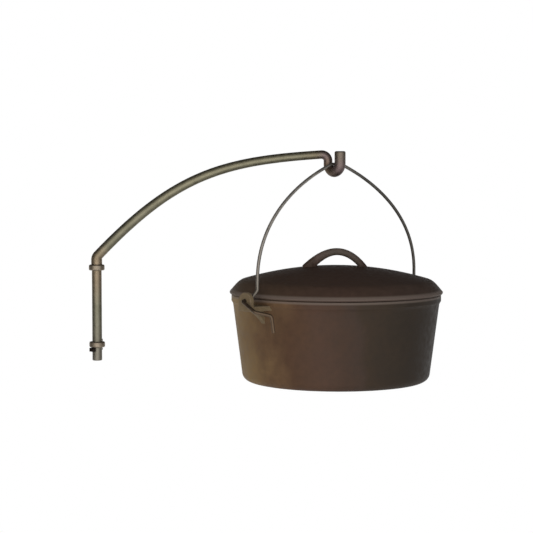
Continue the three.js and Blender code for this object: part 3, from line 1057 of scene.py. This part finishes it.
@dataclass
class WallEyes:
    """Two forged rings on square shanks that taper to blunt ends inside the wall."""

    layout: Layout = LAYOUT
    ring_wall: float = 4.0
    edge_round: float = 1.92
    shank_size: float = 8.0
    shank_end_size: float = 6.6
    shank_chamfer: float = 1.3
    # Dull scale with pale rust, dark in its hollows.
    finish: ForgedSteel = ForgedSteel(
        name="forged_wall_iron", film="#7F7567", stain="#3A342C", stain_size=8.0
    )

    def build(self, turner: Turner) -> None:
        """Builds both eyes.

        Args:
            turner: The turning tree.
        """
        layout, finish = self.layout, self.finish.material()
        bore = layout.post_radius + layout.eye_clearance
        size = self.edge_round
        inner, outer = bore + size, bore + self.ring_wall - size
        flat = layout.eye_height / 2 - size
        corners = ((outer, -flat, -90), (outer, flat, 0), (inner, flat, 90), (inner, -flat, 180))
        profile = []
        for radius, height, angle in corners:
            profile += arc(radius, height, size, angle, angle + 90, steps=6)
        profile.append(profile[0])
        start = bore + self.ring_wall / 2
        root = start + (layout.shank_length - start) / 2
        rings = [
            self.square(start, self.shank_size),
            self.square(root, self.shank_size),
            self.square(layout.shank_length, self.shank_end_size),
        ]
        for name, height in (("lower_wall_eye", 0.0), ("upper_wall_eye", layout.eye_spacing)):
            axes = layout.crane_axes @ Matrix.Translation((0, 0, height))
            ring = turner.turned(name + "_ring", profile, axes, finish, sides=72)
            shank = lofted(name + "_shank", rings, axes)
            eye = fused(name + "_forging", [ring, shank], finish, grain=0.42, passes=7)
            dress(eye, Body.WALL_EYES, "wall_iron", name)

    def square(self, distance: float, width: float) -> list[Vector]:
        """Draws a section of the shank.

        Args:
            distance: Its distance behind the post's axis.
            width: Its width across the flats.

        Returns:
            The chamfered square's corners.
        """
        edge = width / 2
        inset = edge - self.shank_chamfer
        corners = ((edge, inset), (inset, edge), (-inset, edge), (-edge, inset),
                   (-edge, -inset), (-inset, -edge), (inset, -edge), (edge, -inset))
        return [Vector((x, distance, z)) for x, z in corners]


@dataclass
class CraneBar:
    """The one-piece bar: pin end, post, shoulder, elbow, drawn-down arm, dip and stub."""

    layout: Layout = LAYOUT
    pin_drop: float = 24.0
    end_round: float = 1.3
    shoulder_step: float = 0.9
    shoulder_edge: float = 0.35
    shoulder_lead: float = 0.2
    shoulder_face: float = 0.02
    shoulder_rise: float = 0.3
    elbow_bend: float = 9.4
    root_radius: float = 7.6
    tip_radius: float = 6.4
    root_angle: float = 46.2
    tip_angle: float = 3.7
    root_pull: float = 166.0
    tip_pull: float = 146.0
    tip_bend: float = 9.5
    leg_radius: float = 6.6
    stub_rise: float = 18.1
    stub_round: float = 2.4
    keeper_hole: float = 2.3
    drill_reach: float = 20.0
    hook_length: float = 96.0
    finish: ForgedSteel = ForgedSteel()

    def route(self) -> BarRoute:
        """Draws the bar from the pin end to the top of the stub.

        Returns:
            The bar's route.
        """
        layout = self.layout
        full, shoulder = layout.post_radius, layout.shoulder_height
        route = BarRoute(UP * -self.pin_drop, UP, full - self.end_round)
        route.round_end(self.end_round, full, opening=True)
        route.line_to(UP * (shoulder - self.shoulder_lead), steps=30)
        step = full + self.shoulder_step
        route.add([UP * (shoulder - self.shoulder_face)], step - self.shoulder_edge)
        route.add([UP * (shoulder + self.shoulder_rise)], step)

        root, tip = math.radians(self.root_angle), math.radians(self.tip_angle)
        root_direction = Vector((math.cos(root), 0, math.sin(root)))
        tip_direction = Vector((math.cos(tip), 0, math.sin(tip)))
        elbow = UP * layout.elbow_height
        above = elbow + root_direction
        route.corner_at(elbow, above, self.elbow_bend, steps=14, radius=self.root_radius)

        tip_turn = math.pi / 2 + tip
        leg_top = Vector((layout.arm_reach, 0, layout.arm_tip_height))
        arm_end = leg_top - tip_direction * self.tip_bend * math.tan(tip_turn / 2)
        pulls = [
            route.points[-1] + root_direction * self.root_pull,
            arm_end - tip_direction * self.tip_pull,
        ]
        route.curve_to(pulls, arm_end, steps=90, radius=self.tip_radius)
        inward = Vector((math.sin(tip), 0, -math.cos(tip)))
        route.bend(inward, self.tip_bend, tip_turn, steps=16, radius=self.leg_radius)
        route.line_to(Vector((layout.arm_reach, 0, layout.dip_height)), steps=2)
        route.direction = DOWN
        quarter, size, full = math.pi / 2, layout.dip_bend, layout.dip_bar_radius
        route.bend(layout.dip_direction, size, quarter, steps=14, radius=full)
        route.bend(UP, size, quarter, steps=14)
        route.line_to(route.points[-1] + UP * (self.stub_rise - self.stub_round), steps=8)
        route.round_end(self.stub_round, full, opening=False)
        return route

    def build(self, sweeper: Sweeper) -> None:
        """Builds the bar, with its tints and the keeper's hole.

        Args:
            sweeper: The sweeping tree.
        """
        layout = self.layout
        route = self.route()
        length = sum(route.steps)
        post = self.pin_drop + layout.shoulder_height
        hook = length - self.hook_length
        # Places in millimetres along the bar: dull post, tan under the elbow, tan and purple hook.
        tints = (
            (0, "#6F6B62"), (post - 62, "#6C6A5B"), (post - 24, "#7B6E5D"), (post + 10, "#80725F"),
            (post + 36, "#6E6B5C"), (post + 190, "#75715F"), (hook - 10, "#726E5D"),
            (hook + 12, "#706857"), (hook + 26, "#675A5A"), (hook + 48, "#6E5D4A"),
            (hook + 70, "#665858"), (length, "#6A6257"),
        )
        finish = replace(self.finish, tints=tints, length=length).material()
        bar = route.piece("crane_bar_forging", layout.crane_axes)
        sweeper.apply(bar, finish, sides=96, depth=0.2, size=22.0, seed=3.0)
        ends = (-self.drill_reach, self.drill_reach)
        cut(bar, sweeper.rod("drill", ends, self.keeper_hole, layout.keeper_axes, finish))
        dress(bar, Body.CRANE, "forged_bar", "crane_bar")


@dataclass
class KeeperPin:
    """A drift with a square forged head, through the post's end."""

    layout: Layout = LAYOUT
    radius: float = 2.1
    head_width: float = 8.4
    head_depth: float = 5.0
    tail: float = 2.6
    # Thick black scale, as it comes from the fire.
    finish: ForgedSteel = ForgedSteel(
        name="black_forge_scale", film="#2A2521", stain="#15120F", rough=0.7
    )

    def build(self, sweeper: Sweeper) -> None:
        """Builds the pin.

        Args:
            sweeper: The sweeping tree, for its shaft.
        """
        layout, finish = self.layout, self.finish.material()
        axes = layout.keeper_axes
        start = layout.post_radius + layout.seat_gap
        ends = (-layout.post_radius - self.tail, start + self.head_depth / 2)
        shaft = sweeper.rod("keeper_shaft", ends, self.radius, axes, finish, steps=12)
        y, z = self.head_width / 2, layout.keeper_head_height / 2
        outline = [(-y, -z), (y, -z), (y, z), (-y, z)]
        ends = (start, start + self.head_depth)
        head = drawn_out("keeper_head", outline, axis=0, ends=ends, axes=axes)
        parts = [outward(shaft), head]
        pin = fused("keeper_pin_forging", parts, finish, grain=0.28, passes=5)
        dress(pin, Body.KEEPER, "keeper_iron", "keeper_pin")


@dataclass
class Bail:
    """The arched wire. Each leg kinks out through its ear and ends in a drooping tail."""

    layout: Layout = LAYOUT
    leg_setback: float = 11.5
    leg_bow: float = 7.0
    crown_flat_end: float = 1.5
    crown_angle: float = 20.0
    crown_bend: float = 20.0
    crown_pull: float = 80.0
    leg_pull: float = 0.51
    kink_height: float = 14.0
    wire_bend: float = 5.0
    hole_lead: float = 3.5
    tail_standoff: float = 5.0
    tail_across: float = 27.0
    tail_fall: float = 14.0
    tail_return_in: float = 20.0
    tail_return_across: float = 12.0
    tail_return_fall: float = 5.5
    tail_droop: float = 24.0
    tail_droop_lean: float = 2.2
    # Drawn wire: long streaks and hardly any pits.
    finish: ForgedSteel = ForgedSteel(
        name="drawn_wire", film="#67645F", stain="#45423E", stain_size=30.0, tone_size=14.0,
        relief_size=1.0, relief_depth=0.015,
    )

    def half_route(self, side: int) -> BarRoute:
        """Draws one half, from the crown's middle to the end of a tail, in the pot's axes.

        Args:
            side: 1 for the back leg, on the plus x side, and -1 for the front leg.

        Returns:
            The route. Both legs are bowed the same way across the bail.
        """

        def spot(out: float, across: float, height: float) -> Vector:
            """A point at a distance outwards on this side."""
            return Vector((side * out, across, height))

        layout = self.layout
        route = BarRoute(spot(0, 0, layout.bail_height), spot(1, 0, 0), layout.wire_radius)
        flat_end = spot(layout.crown_shift + self.crown_flat_end, 0, layout.bail_height)
        route.line_to(flat_end, steps=3)
        route.bend(DOWN, self.crown_bend, math.radians(self.crown_angle), steps=8)
        half_width = layout.ear_inner_face - self.leg_setback
        kink = spot(half_width, -self.leg_bow, self.kink_height)
        leg_start = kink + UP * self.kink_height
        start = route.points[-1]
        pulls = [
            start + route.direction * self.crown_pull,
            leg_start + UP * (start.z - leg_start.z) * self.leg_pull,
        ]
        route.curve_to(pulls, leg_start, steps=70)
        outer = layout.ear_inner_face + layout.ear_plate + self.tail_standoff
        across = spot(outer, side * self.tail_across, -self.tail_fall)
        under = across + spot(
            -self.tail_return_in, side * self.tail_return_across, -self.tail_return_fall
        )
        lean = self.tail_droop_lean
        tail_end = under + spot(-lean, side * lean, -self.tail_droop)
        bend, loose = self.wire_bend, self.tail_standoff - layout.seat_gap
        entry, outside = spot(layout.ear_inner_face - self.hole_lead, 0, 0), spot(outer, 0, 0)
        route.corner_at(kink, entry, bend, steps=8)
        route.corner_at(entry, outside, bend, steps=8)
        route.corner_at(outside, across, loose, steps=10)
        route.corner_at(across, under, bend, steps=8)
        route.corner_at(under, tail_end, bend, steps=8)
        route.line_to(tail_end, steps=6)
        return route

    def build(self, sweeper: Sweeper) -> None:
        """Builds the bail from the front tail up over the crown to the back tail.

        The tails are brown with grease; the front leg is painted paler as a painted reflection, and the
        back leg is painted darker as painted shade.

        Args:
            sweeper: The sweeping tree.
        """
        route, front = self.half_route(1), self.half_route(-1)
        route.points = front.points[:0:-1] + route.points
        route.radii = front.radii[:0:-1] + route.radii
        length = sum(route.steps)
        crown = length / 2
        # Places in millimetres along the wire: greasy tails, a pale front leg that is a painted
        # reflection, a dark back leg that is painted shade.
        tints = (
            (0, "#544639"), (66, "#544639"), (92, "#5B554D"), (150, "#7C7771"), (230, "#A29D96"),
            (crown - 20, "#948F88"), (crown + 60, "#5A5752"), (length, "#514D48"),
        )
        finish = replace(self.finish, tints=tints, length=length).material()
        wire = route.piece("bail_wire", self.layout.pot_axes)
        sweeper.apply(wire, finish, sides=20, depth=0.03, size=16.0, seed=8.0)
        dress(wire, Body.BAIL, "bail_wire", "bail")


@dataclass
class Pot:
    """A tapered cast shell with a rim band, a round base corner and two ears."""

    layout: Layout = LAYOUT
    band_height: float = 11.0
    band_fillet: float = 1.2
    depth: float = 129.0
    taper_angle: float = 7.2
    floor: float = 5.5
    base_corner: float = 12.7
    inner_corner: float = 10.0
    rim_round: float = 1.8
    eye_radius: float = 12.5
    hole_clearance: float = 0.85
    drill_lead: float = 5.0
    ledge_drop: float = 8.0
    ledge_thickness: float = 7.0
    ledge_root: float = 3.5
    ledge_lap: float = 3.0
    root_width: float = 40.0
    web_depth: float = 24.0
    web_thickness: float = 8.0
    web_root: float = 3.0
    patch_border: float = 10.0
    patch_below: float = 8.0
    patch_above: float = 1.5
    patch_sunk: float = 0.9
    patch_thickness: float = 2.5
    # Olive-tan, red-brown and black-brown from one side of the casting to the other: partly the film's
    # own hues, partly painted side light on the minus-x side and painted shade on the plus-x side. A
    # painted highlight runs round the rim's top edge.
    shell_finish: SeasonedIron = SeasonedIron(
        name="seasoned_pot_iron", highlight_height=LAYOUT.rim_height - 1.8, highlight_reach=3.0,
        highlight_core=0.9,
        films=((-156, "#7D6845"), (-122, "#6D583B"), (-100, "#5A4531"), (-72, "#483426"),
               (-36, "#443228"), (-14, "#3C2D24"), (22, "#382C25"), (40, "#32281F"),
               (90, "#2D261F"), (156, "#28221D")),
    )
    # The same kind of film, greyer, painted paler on the minus-x side as painted side light and darker
    # on the plus-x side as painted shade.
    ear_finish: SeasonedIron = SeasonedIron(
        name="seasoned_ear_iron", reach=175.0,
        films=((-170, "#6A5D49"), (-100, "#62543F"), (100, "#332B24"), (170, "#352D26")),
    )

    def wall_at(self, height: float, sunk: float) -> float:
        """Radius at a height, that far inside the wall's skin."""
        slope = math.tan(math.radians(self.taper_angle))
        return self.layout.wall_top - sunk + (height + self.band_height) * slope

    def profile(self) -> Profile:
        """Draws the shell from the middle of the base, outside up and inside down.

        Returns:
            The profile's points.
        """
        layout, angle = self.layout, self.taper_angle
        slope = math.tan(math.radians(angle))
        rim, wall, band = layout.rim_radius, layout.wall_top, -self.band_height
        outer_corner = self.wall_at(-self.depth, 0) - self.base_corner * (1 - slope)
        inner_top = wall - layout.pot_wall
        floor = self.floor - self.depth
        inner_corner = inner_top + floor * slope - self.inner_corner * (1 - slope)
        step, size = layout.rim_band_step, self.rim_round
        return [
            (0, -self.depth),
            *arc(outer_corner, self.base_corner - self.depth, self.base_corner, -90, -angle, steps=14),
            (wall - self.band_fillet / 8, band - step - self.band_fillet),
            (wall + self.band_fillet / 6, band - step),
            (rim - size * 0.7, band - size * 0.3),
            *arc(rim - size, size + band, size, -45, 0, steps=4),
            *arc(rim - size, -size, size, 0, 90, steps=7),
            *arc(inner_top + size, -size, size, 90, 180, steps=7),
            *arc(inner_corner, floor + self.inner_corner, self.inner_corner, -angle, -90, steps=10),
            (0, floor),
        ]

    def build(self, turner: Turner, sweeper: Sweeper) -> None:
        """Builds the shell and the two ears.

        Args:
            turner: The turning tree.
            sweeper: The sweeping tree.
        """
        axes, profile = self.layout.pot_axes, spaced(self.profile(), 5.0)
        finish, eared = self.shell_finish.material(), self.ear_finish.material()
        marks = {"depth": 0.5, "size": 55.0, "seed": 5.0}
        shell = turner.turned("pot_shell", profile, axes, finish, sides=224, **marks)
        dress(shell, Body.POT, "pot_iron", "pot")
        for name, turn in (("front_ear", math.pi), ("back_ear", 0.0)):
            ear = self.ear(name, axes @ Matrix.Rotation(turn, 4, "Z"), sweeper, eared)
            dress(ear, Body.POT, "pot_iron", "pot", crease=70)

    def ear(self, name: str, axes: Matrix, sweeper: Sweeper, finish: Material) -> Object:
        """Makes one ear: ledge, upright plate with its hole, web, and a patch of the wall behind.

        Args:
            name: The piece's name.
            axes: From the ear's axes, with x outwards, to the frame's.
            sweeper: The sweeping tree, for the hole's drill.
            finish: The material.

        Returns:
            The ear.
        """
        layout = self.layout
        top = -self.ledge_drop
        bottom = top - self.ledge_thickness
        root = layout.wall_top - self.ledge_root
        plate_in, eye = layout.ear_inner_face, self.eye_radius
        plate_out = plate_in + layout.ear_plate
        controls = ((root, self.root_width / 2), ((root + plate_in) / 2, eye),
                    (plate_in + self.ledge_lap, eye))
        side = [tuple(point) for point in curve([Vector(spot) for spot in controls], steps=12)]
        outline = [(x, -y) for x, y in side] + side[::-1]
        ledge = drawn_out("ledge", outline, axis=2, ends=(bottom, top), axes=axes)
        hole_height = layout.seat_gap - self.hole_clearance
        outline = [(-eye, bottom), (eye, bottom), *arc(0, hole_height, eye, 0, 180, steps=24)]
        plate = drawn_out("plate", outline, axis=0, ends=(plate_in, plate_out), axes=axes)
        hole = layout.wire_radius + self.hole_clearance
        ends = (plate_in - self.drill_lead, plate_out + self.drill_lead)
        cut(plate, sweeper.rod("drill", ends, hole, axes, finish, hole_height, sides=28))
        low, middle = bottom - self.web_depth, bottom + self.ledge_thickness / 2
        foot = self.wall_at(low, self.web_root)
        controls = ((foot, low), (foot + self.web_depth / 2, bottom - self.web_depth / 3),
                    (plate_in, middle))
        outline = [(self.wall_at(bottom, self.web_root), middle)]
        outline += [tuple(point) for point in curve([Vector(spot) for spot in controls], steps=12)]
        half = self.web_thickness / 2
        web = drawn_out("web", outline, axis=1, ends=(-half, half), axes=axes)
        patch = self.wall_patch(axes, low - self.patch_below)
        return fused(name, [ledge, plate, web, patch], finish, grain=0.75, passes=9)

    def wall_patch(self, axes: Matrix, bottom: float) -> Object:
        """Makes a thin slab just under the wall's skin, from which an ear's roots rise.

        Args:
            axes: From the ear's axes to the frame's.
            bottom: Height of its lower edge.

        Returns:
            The closed slab.
        """
        layout = self.layout
        top = -self.band_height - layout.rim_band_step - self.patch_above
        near, deep = self.patch_sunk, self.patch_sunk + self.patch_thickness
        reach = math.asin((self.root_width / 2 + self.patch_border) / layout.wall_top)
        rings = []
        for angle in (reach * share for share in shares(16, -1)):
            ring = []
            for height, sunk in ((bottom, near), (top, near), (top, deep), (bottom, deep)):
                radius = self.wall_at(height, sunk)
                ring.append(Vector((radius * math.cos(angle), radius * math.sin(angle), height)))
            rings.append(ring)
        return lofted("wall_patch", rings, axes)


@dataclass
class Lid:
    """A shallow dome with a thin lip, a skirt inside the pot's mouth and a cast loop handle."""

    layout: Layout = LAYOUT
    overhang: float = 2.6
    rise: float = 41.7
    dome_drop: float = 20.0
    shoulder_width: float = 20.0
    shoulder_pull_in: float = 6.0
    shoulder_pull_up: float = 4.8
    dome_pull: float = 8.0
    lip_height: float = 5.0
    lip_round: float = 2.4
    lip_top_set_in: float = 1.5
    lip_undercut: float = 1.6
    thickness: float = 4.6
    skirt_depth: float = 5.5
    skirt_thickness: float = 4.0
    skirt_clearance: float = 1.0
    handle_span: float = 89.0
    handle_set_left: float = 2.5
    handle_lean_right: float = 4.3
    left_web: float = 5.5
    handle_rise: float = 25.6
    handle_thickness: float = 10.5
    handle_width: float = 15.0
    strap_squareness: float = 2.7
    foot_flare: float = 1.35
    foot_depth: float = 9.5
    foot_sunk: float = 2.53
    web_fade: float = 1.5
    patch_reach: float = 22.0
    patch_sunk: float = 0.75
    patch_floor: float = 3.2
    # Black-brown, a little paler on the minus-x side as painted side light, with a smoother grain than
    # the pot's and a painted highlight round the lip.
    dome_finish: SeasonedIron = SeasonedIron(
        name="seasoned_lid_iron", relief_size=1.0, relief_depth=0.07, rough=0.65, gloss=0.1,
        highlight_height=LAYOUT.rim_height + 4.6, highlight_reach=3.6, highlight_core=1.08,
        films=((-156, "#463A2D"), (-90, "#3C2E25"), (0, "#392B24"), (156, "#382E28")),
    )
    # Paler and greyer along the arch and brightest near the minus-x foot: partly polish from hands,
    # partly a painted sheen and highlight. The feet fade into the dome.
    handle_finish: SeasonedIron = SeasonedIron(
        name="polished_and_highlighted_handle_iron", relief_size=1.0, relief_depth=0.06, smooth=0.38, rough=0.5,
        films=((-50, "#3E3028"), (-41, "#54453F"), (-10, "#4E463F"), (36, "#4B413A"),
               (46, "#3C2F28")),
    )

    @property
    def radius(self) -> float:
        """Outer radius of the lip."""
        return self.layout.rim_radius + self.overhang

    def dome_at(self, radius: float) -> float:
        """Height of the dome's top at a radius."""
        return self.rise - self.dome_drop * (radius / (self.radius - self.shoulder_width)) ** 2

    def profile(self) -> Profile:
        """Draws the lid from the middle of its underside, out, and back over the top.

        Returns:
            The profile's points.
        """
        layout = self.layout
        edge = self.radius - self.shoulder_width
        bottom = layout.seat_gap
        lip_top = bottom + self.lip_height
        skirt_out = layout.wall_top - layout.pot_wall - self.skirt_clearance
        skirt_in = skirt_out - self.skirt_thickness
        skirt_round = self.skirt_thickness / 2
        inner = [(skirt_in - self.skirt_thickness) * share for share in shares(12)]
        size, pull = self.lip_round, self.dome_pull
        slope = 2 * self.dome_drop / edge
        shoulder = curve([
            Vector((self.radius - self.lip_top_set_in, lip_top)),
            Vector((self.radius - self.shoulder_pull_in, lip_top + self.shoulder_pull_up)),
            Vector((edge + pull, self.dome_at(edge) - pull * slope)),
            Vector((edge, self.dome_at(edge))),
        ], steps=12)
        return [
            *((radius, self.dome_at(radius) - self.thickness) for radius in inner),
            (skirt_in, bottom),
            *arc(skirt_in + skirt_round, skirt_round - self.skirt_depth, skirt_round, 180, 360, steps=8),
            (skirt_out, bottom),
            (self.radius - self.lip_undercut, bottom),
            *arc(self.radius - size, bottom + size, size, -70, 60, steps=9),
            *(tuple(point) for point in shoulder),
            *((edge * share, self.dome_at(edge * share)) for share in shares(24)[-2::-1]),
        ]

    def build(self, turner: Turner) -> None:
        """Builds the dome and the handle.

        Args:
            turner: The turning tree.
        """
        turn = Matrix.Rotation(-math.radians(self.layout.bail_angle), 4, "Z")
        axes, profile = self.layout.pot_axes @ turn, spaced(self.profile(), 6.0)
        marks = {"depth": 0.4, "size": 60.0, "seed": 11.0}
        finish, highlighted = self.dome_finish.material(), self.handle_finish.material()
        dome = turner.turned("lid_dome", profile, axes, finish, sides=224, **marks)
        dress(dome, Body.LID, "lid_iron", "lid")
        dress(self.handle(axes, highlighted), Body.LID, "lid_iron", "lid", crease=70)

    def handle(self, axes: Matrix, finish: Material) -> Object:
        """Makes the loop handle, with patches of the dome from which its feet rise.

        Args:
            axes: From the lid's axes to the frame's.
            finish: The material.

        Returns:
            The handle.
        """
        half_span, left, lean = self.handle_span / 2, self.handle_set_left, self.handle_lean_right
        top = self.rise + self.handle_rise - self.handle_thickness / 2
        foot = self.dome_at(half_span) - self.foot_sunk
        rings = []
        for share in shares(48, -1):
            sway = lean * (1 - share**2) - left * (1 + share**2)
            centre = Vector((half_span * share + sway / 2, 0, top - (top - foot) * share**2))
            along = half_span - (lean + left) * share
            tangent = Vector((along, 0, -2 * (top - foot) * share)).normalized()
            normal = Vector((-tangent.z, 0, tangent.x))
            spread = max(0.0, 1 - max(0.0, centre.z - foot) / self.foot_depth) ** 2
            flare = 1 + (self.foot_flare - 1) * spread
            web = self.left_web * max(0.0, -share) ** self.web_fade
            rings.append(self.strap_section(centre, normal, flare, web))
        parts = [lofted("arch", rings, axes)]
        parts += [self.dome_patch(axes, side * half_span - left) for side in (-1, 1)]
        return fused("lid_handle", parts, finish, grain=0.8, passes=10)

    def strap_section(self, centre: Vector, normal: Vector, flare: float, web: float) -> list[Vector]:
        """Draws a section of the handle: a strap with full round edges.

        Args:
            centre: The section's centre.
            normal: Direction towards the handle's outer side.
            flare: Factor of the strap's width.
            web: Extra metal on the inner side, in millimetres.

        Returns:
            Points of the section.
        """
        ring = []
        for angle in (math.tau * share for share in shares(28)[:-1]):
            across, out = (
                math.copysign(abs(value) ** (2 / self.strap_squareness), value)
                for value in (math.cos(angle), math.sin(angle))
            )
            reach = self.handle_thickness / 2 + (web if out < 0 else 0.0)
            point = centre + normal * (out * reach)
            point.y += across * self.handle_width / 2 * flare
            ring.append(point)
        return ring

    def dome_patch(self, axes: Matrix, centre: float) -> Object:
        """Makes a thin square slab just under the dome's skin, round one foot of the handle.

        Args:
            axes: From the lid's axes to the frame's.
            centre: The foot's place along x.

        Returns:
            The closed slab.
        """
        rings = []
        offsets = [self.patch_reach * share for share in shares(12, -1)]
        for x in (centre + offset for offset in offsets):
            skin = [Vector((x, y, self.dome_at(math.hypot(x, y)))) for y in offsets]
            high = [point + DOWN * self.patch_sunk for point in skin]
            low = [point + DOWN * self.patch_floor for point in skin]
            rings.append(high + low[::-1])
        return lofted("dome_patch", rings, axes)


@dataclass(frozen=True)
class Lamp:
    """A square soft light that faces the pot, with its place in metres from the pot's rim."""

    name: str
    place: Triple
    size: float
    power: float
    colour: str = "#FFFFFF"


@dataclass(frozen=True)
class Card:
    """A dark card that only reflections see, to draw the bar's edges, in metres from the rim."""

    name: str
    corner: Triple
    first_edge: Triple
    second_edge: Triple


@dataclass
class Studio:
    """The pale floor, the soft lights and the camera. None of it is part of the object."""

    layout: Layout = LAYOUT
    floor_height: float = -760.0
    floor_size: float = 9000.0
    # Distances in metres between which the object's shadow fades out.
    fade_start: float = 0.5
    fade_end: float = 1.6
    # The light that the floor near the pot gives off, on which the shadow shows.
    floor_glow: float = 0.72
    fill_strength: float = 0.5
    camera_distance: float = 2403.9
    camera_left_of_pot: float = 103.1
    camera_height: float = 274.0
    camera_pitch: float = 3.75
    lens: float = 109.8
    sensor_width: float = 36.0
    lamps: tuple[Lamp, ...] = (
        Lamp("key_softbox", (-0.9, -2.2, 0.1), size=2.1, power=19.0, colour="#FFF9F0"),
        Lamp("front_softbox", (0.9, -2.3, -0.1), size=2.6, power=22.0),
        Lamp("low_softbox", (-0.1, -1.4, -0.62), size=1.5, power=6.0),
    )
    cards: tuple[Card, ...] = (
        Card("ceiling_card", (-2.6, -1.3, 1.1), (5.2, 0, 0), (0, 3.7, -0.6)),
        Card("left_card", (-1.9, -1.9, -0.8), (0, 2.5, 0), (0, 0, 1.9)),
        Card("right_card", (1.9, -0.6, -0.8), (0, 1.2, 0), (0, 0, 1.9)),
    )

    def build(self) -> None:
        """Builds everything round the object."""
        pot = self.layout.pot_axes.translation * MM
        self.floor(pot)
        self.world()
        for lamp in self.lamps:
            self.light(lamp, pot)
        for card in self.cards:
            self.shade(card, pot)
        self.camera(pot)

    def floor(self, pot: Vector) -> None:
        """Adds a wide floor that shows white to the camera and keeps the object's shadow.

        Args:
            pot: The middle of the pot's rim, in metres.
        """
        half = self.floor_size / 2
        corners = [Vector((x * half, y * half, self.floor_height))
                   for x, y in ((-1, -1), (1, -1), (1, 1), (-1, 1))]
        plane = mesh_piece("floor", corners, faces=[(0, 1, 2, 3)])
        material = bpy.data.materials.new("pale_floor")
        material.use_nodes = True
        material.node_tree.nodes.clear()
        add = partial(add_node, material.node_tree)
        middle = Vector((pot.x, pot.y, self.floor_height * MM))
        place = add("ShaderNodeTexCoord", out="Object")
        away = add("ShaderNodeVectorMath", {0: place, 1: middle}, out="Value", operation="DISTANCE")
        fade = add(
            "ShaderNodeMapRange",
            {"Value": away, "From Min": self.fade_start, "From Max": self.fade_end},
            interpolation_type="SMOOTHSTEP",
        )
        pale = add("ShaderNodeBsdfDiffuse", {"Color": linear("#EFEFEF")})
        soft = add("ShaderNodeBsdfDiffuse", {"Color": linear("#959595")})
        glow = add("ShaderNodeEmission", {"Color": linear("#FFFFFF"), "Strength": self.floor_glow})
        near = add("ShaderNodeAddShader", {0: soft, 1: glow})
        white = add("ShaderNodeEmission", {"Color": linear("#FFFFFF"), "Strength": 1.0})
        seen = add("ShaderNodeMixShader", {0: fade, 1: near, 2: white})
        rays = add("ShaderNodeLightPath").node.outputs
        sight = {0: rays["Is Camera Ray"], 1: rays["Is Glossy Ray"]}
        shown = add("ShaderNodeMath", sight, operation="MAXIMUM")
        final = add("ShaderNodeMixShader", {0: shown, 1: pale, 2: seen})
        add("ShaderNodeOutputMaterial", {"Surface": final})
        # The floor's glow lights nothing.
        material.cycles.emission_sampling = "NONE"
        plane.data.materials.append(material)
        plane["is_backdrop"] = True

    def shade(self, card: Card, pot: Vector) -> None:
        """Adds a dark card.

        Args:
            card: The card.
            pot: The middle of the pot's rim, in metres.
        """
        first, second = Vector(card.first_edge), Vector(card.second_edge)
        start = pot + Vector(card.corner)
        corners = [start, start + first, start + first + second, start + second]
        plane = mesh_piece(card.name, [point / MM for point in corners], faces=[(0, 1, 2, 3)])
        material = bpy.data.materials.new(card.name)
        material.use_nodes = True
        shader = material.node_tree.nodes["Principled BSDF"]
        shader.inputs["Base Color"].default_value = linear("#4A4A4A")
        shader.inputs["Roughness"].default_value = 0.9
        plane.data.materials.append(material)
        plane.visible_camera = False
        plane.visible_diffuse = False
        plane.visible_shadow = False
        plane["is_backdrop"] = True

    def world(self) -> None:
        """Adds a white background for the camera and reflections, and a soft fill light."""
        world = bpy.data.worlds.new("studio_air")
        bpy.context.scene.world = world
        world.use_nodes = True
        world.node_tree.nodes.clear()
        add = partial(add_node, world.node_tree)
        rays = add("ShaderNodeLightPath").node.outputs
        seen = rays["Is Camera Ray"]
        for other in ("Is Glossy Ray", "Is Transmission Ray"):
            seen = add("ShaderNodeMath", {0: seen, 1: rays[other]}, operation="MAXIMUM")
        fill, white = (
            add("ShaderNodeBackground", {"Color": linear("#FFFFFF"), "Strength": strength})
            for strength in (self.fill_strength, 1.0)
        )
        mixed = add("ShaderNodeMixShader", {0: seen, 1: fill, 2: white})
        add("ShaderNodeOutputWorld", {"Surface": mixed})
        # Metal then reflects the white background in full.
        world.cycles.sampling_method = "NONE"

    def light(self, lamp: Lamp, pot: Vector) -> None:
        """Adds a soft light.

        Args:
            lamp: The light.
            pot: The middle of the pot's rim, in metres, which it faces.
        """
        data = bpy.data.lights.new(lamp.name, "AREA")
        data.shape = "SQUARE"
        data.size = lamp.size
        data.energy = lamp.power
        data.color = linear(lamp.colour)[:3]
        light = bpy.data.objects.new(lamp.name, data)
        light.location = pot + Vector(lamp.place)
        light.rotation_euler = (pot - light.location).to_track_quat("-Z", "Y").to_euler()
        light.visible_camera = False
        bpy.context.scene.collection.objects.link(light)

    def camera(self, pot: Vector) -> None:
        """Sets the camera at the photograph's place, level but for a slight look down.

        Args:
            pot: The middle of the pot's rim, in metres.
        """
        data = bpy.data.cameras.new("viewpoint")
        data.lens = self.lens
        data.sensor_width = self.sensor_width
        camera = bpy.data.objects.new("viewpoint", data)
        camera.location = (
            pot.x - self.camera_left_of_pot * MM,
            pot.y - self.camera_distance * MM,
            self.camera_height * MM,
        )
        camera.rotation_euler = (math.radians(90 - self.camera_pitch), 0, 0)
        bpy.context.scene.collection.objects.link(camera)
        bpy.context.scene.camera = camera


def write_sizes() -> None:
    """Rounds the frame's box and the dressed model's box to plain numbers."""
    boxes = {
        name: [[round(value, 6) for value in corner] for corner in box]
        for name, box in (("cad", cad_box), ("visual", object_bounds()))
    }


def main() -> None:
    """Builds the crane, the pot and the studio, in order."""
    logging.basicConfig(level=logging.INFO, format="%(name)s %(message)s")
    bpy.context.scene.view_settings.view_transform = "Standard"
    turner, sweeper = Turner(), Sweeper()
    WallEyes().build(turner)
    CraneBar().build(sweeper)
    KeeperPin().build(sweeper)
    Bail().build(sweeper)
    Pot().build(turner, sweeper)
    Lid().build(turner)
    Studio().build()
    write_sizes()


if __name__ == "__main__":
    main()
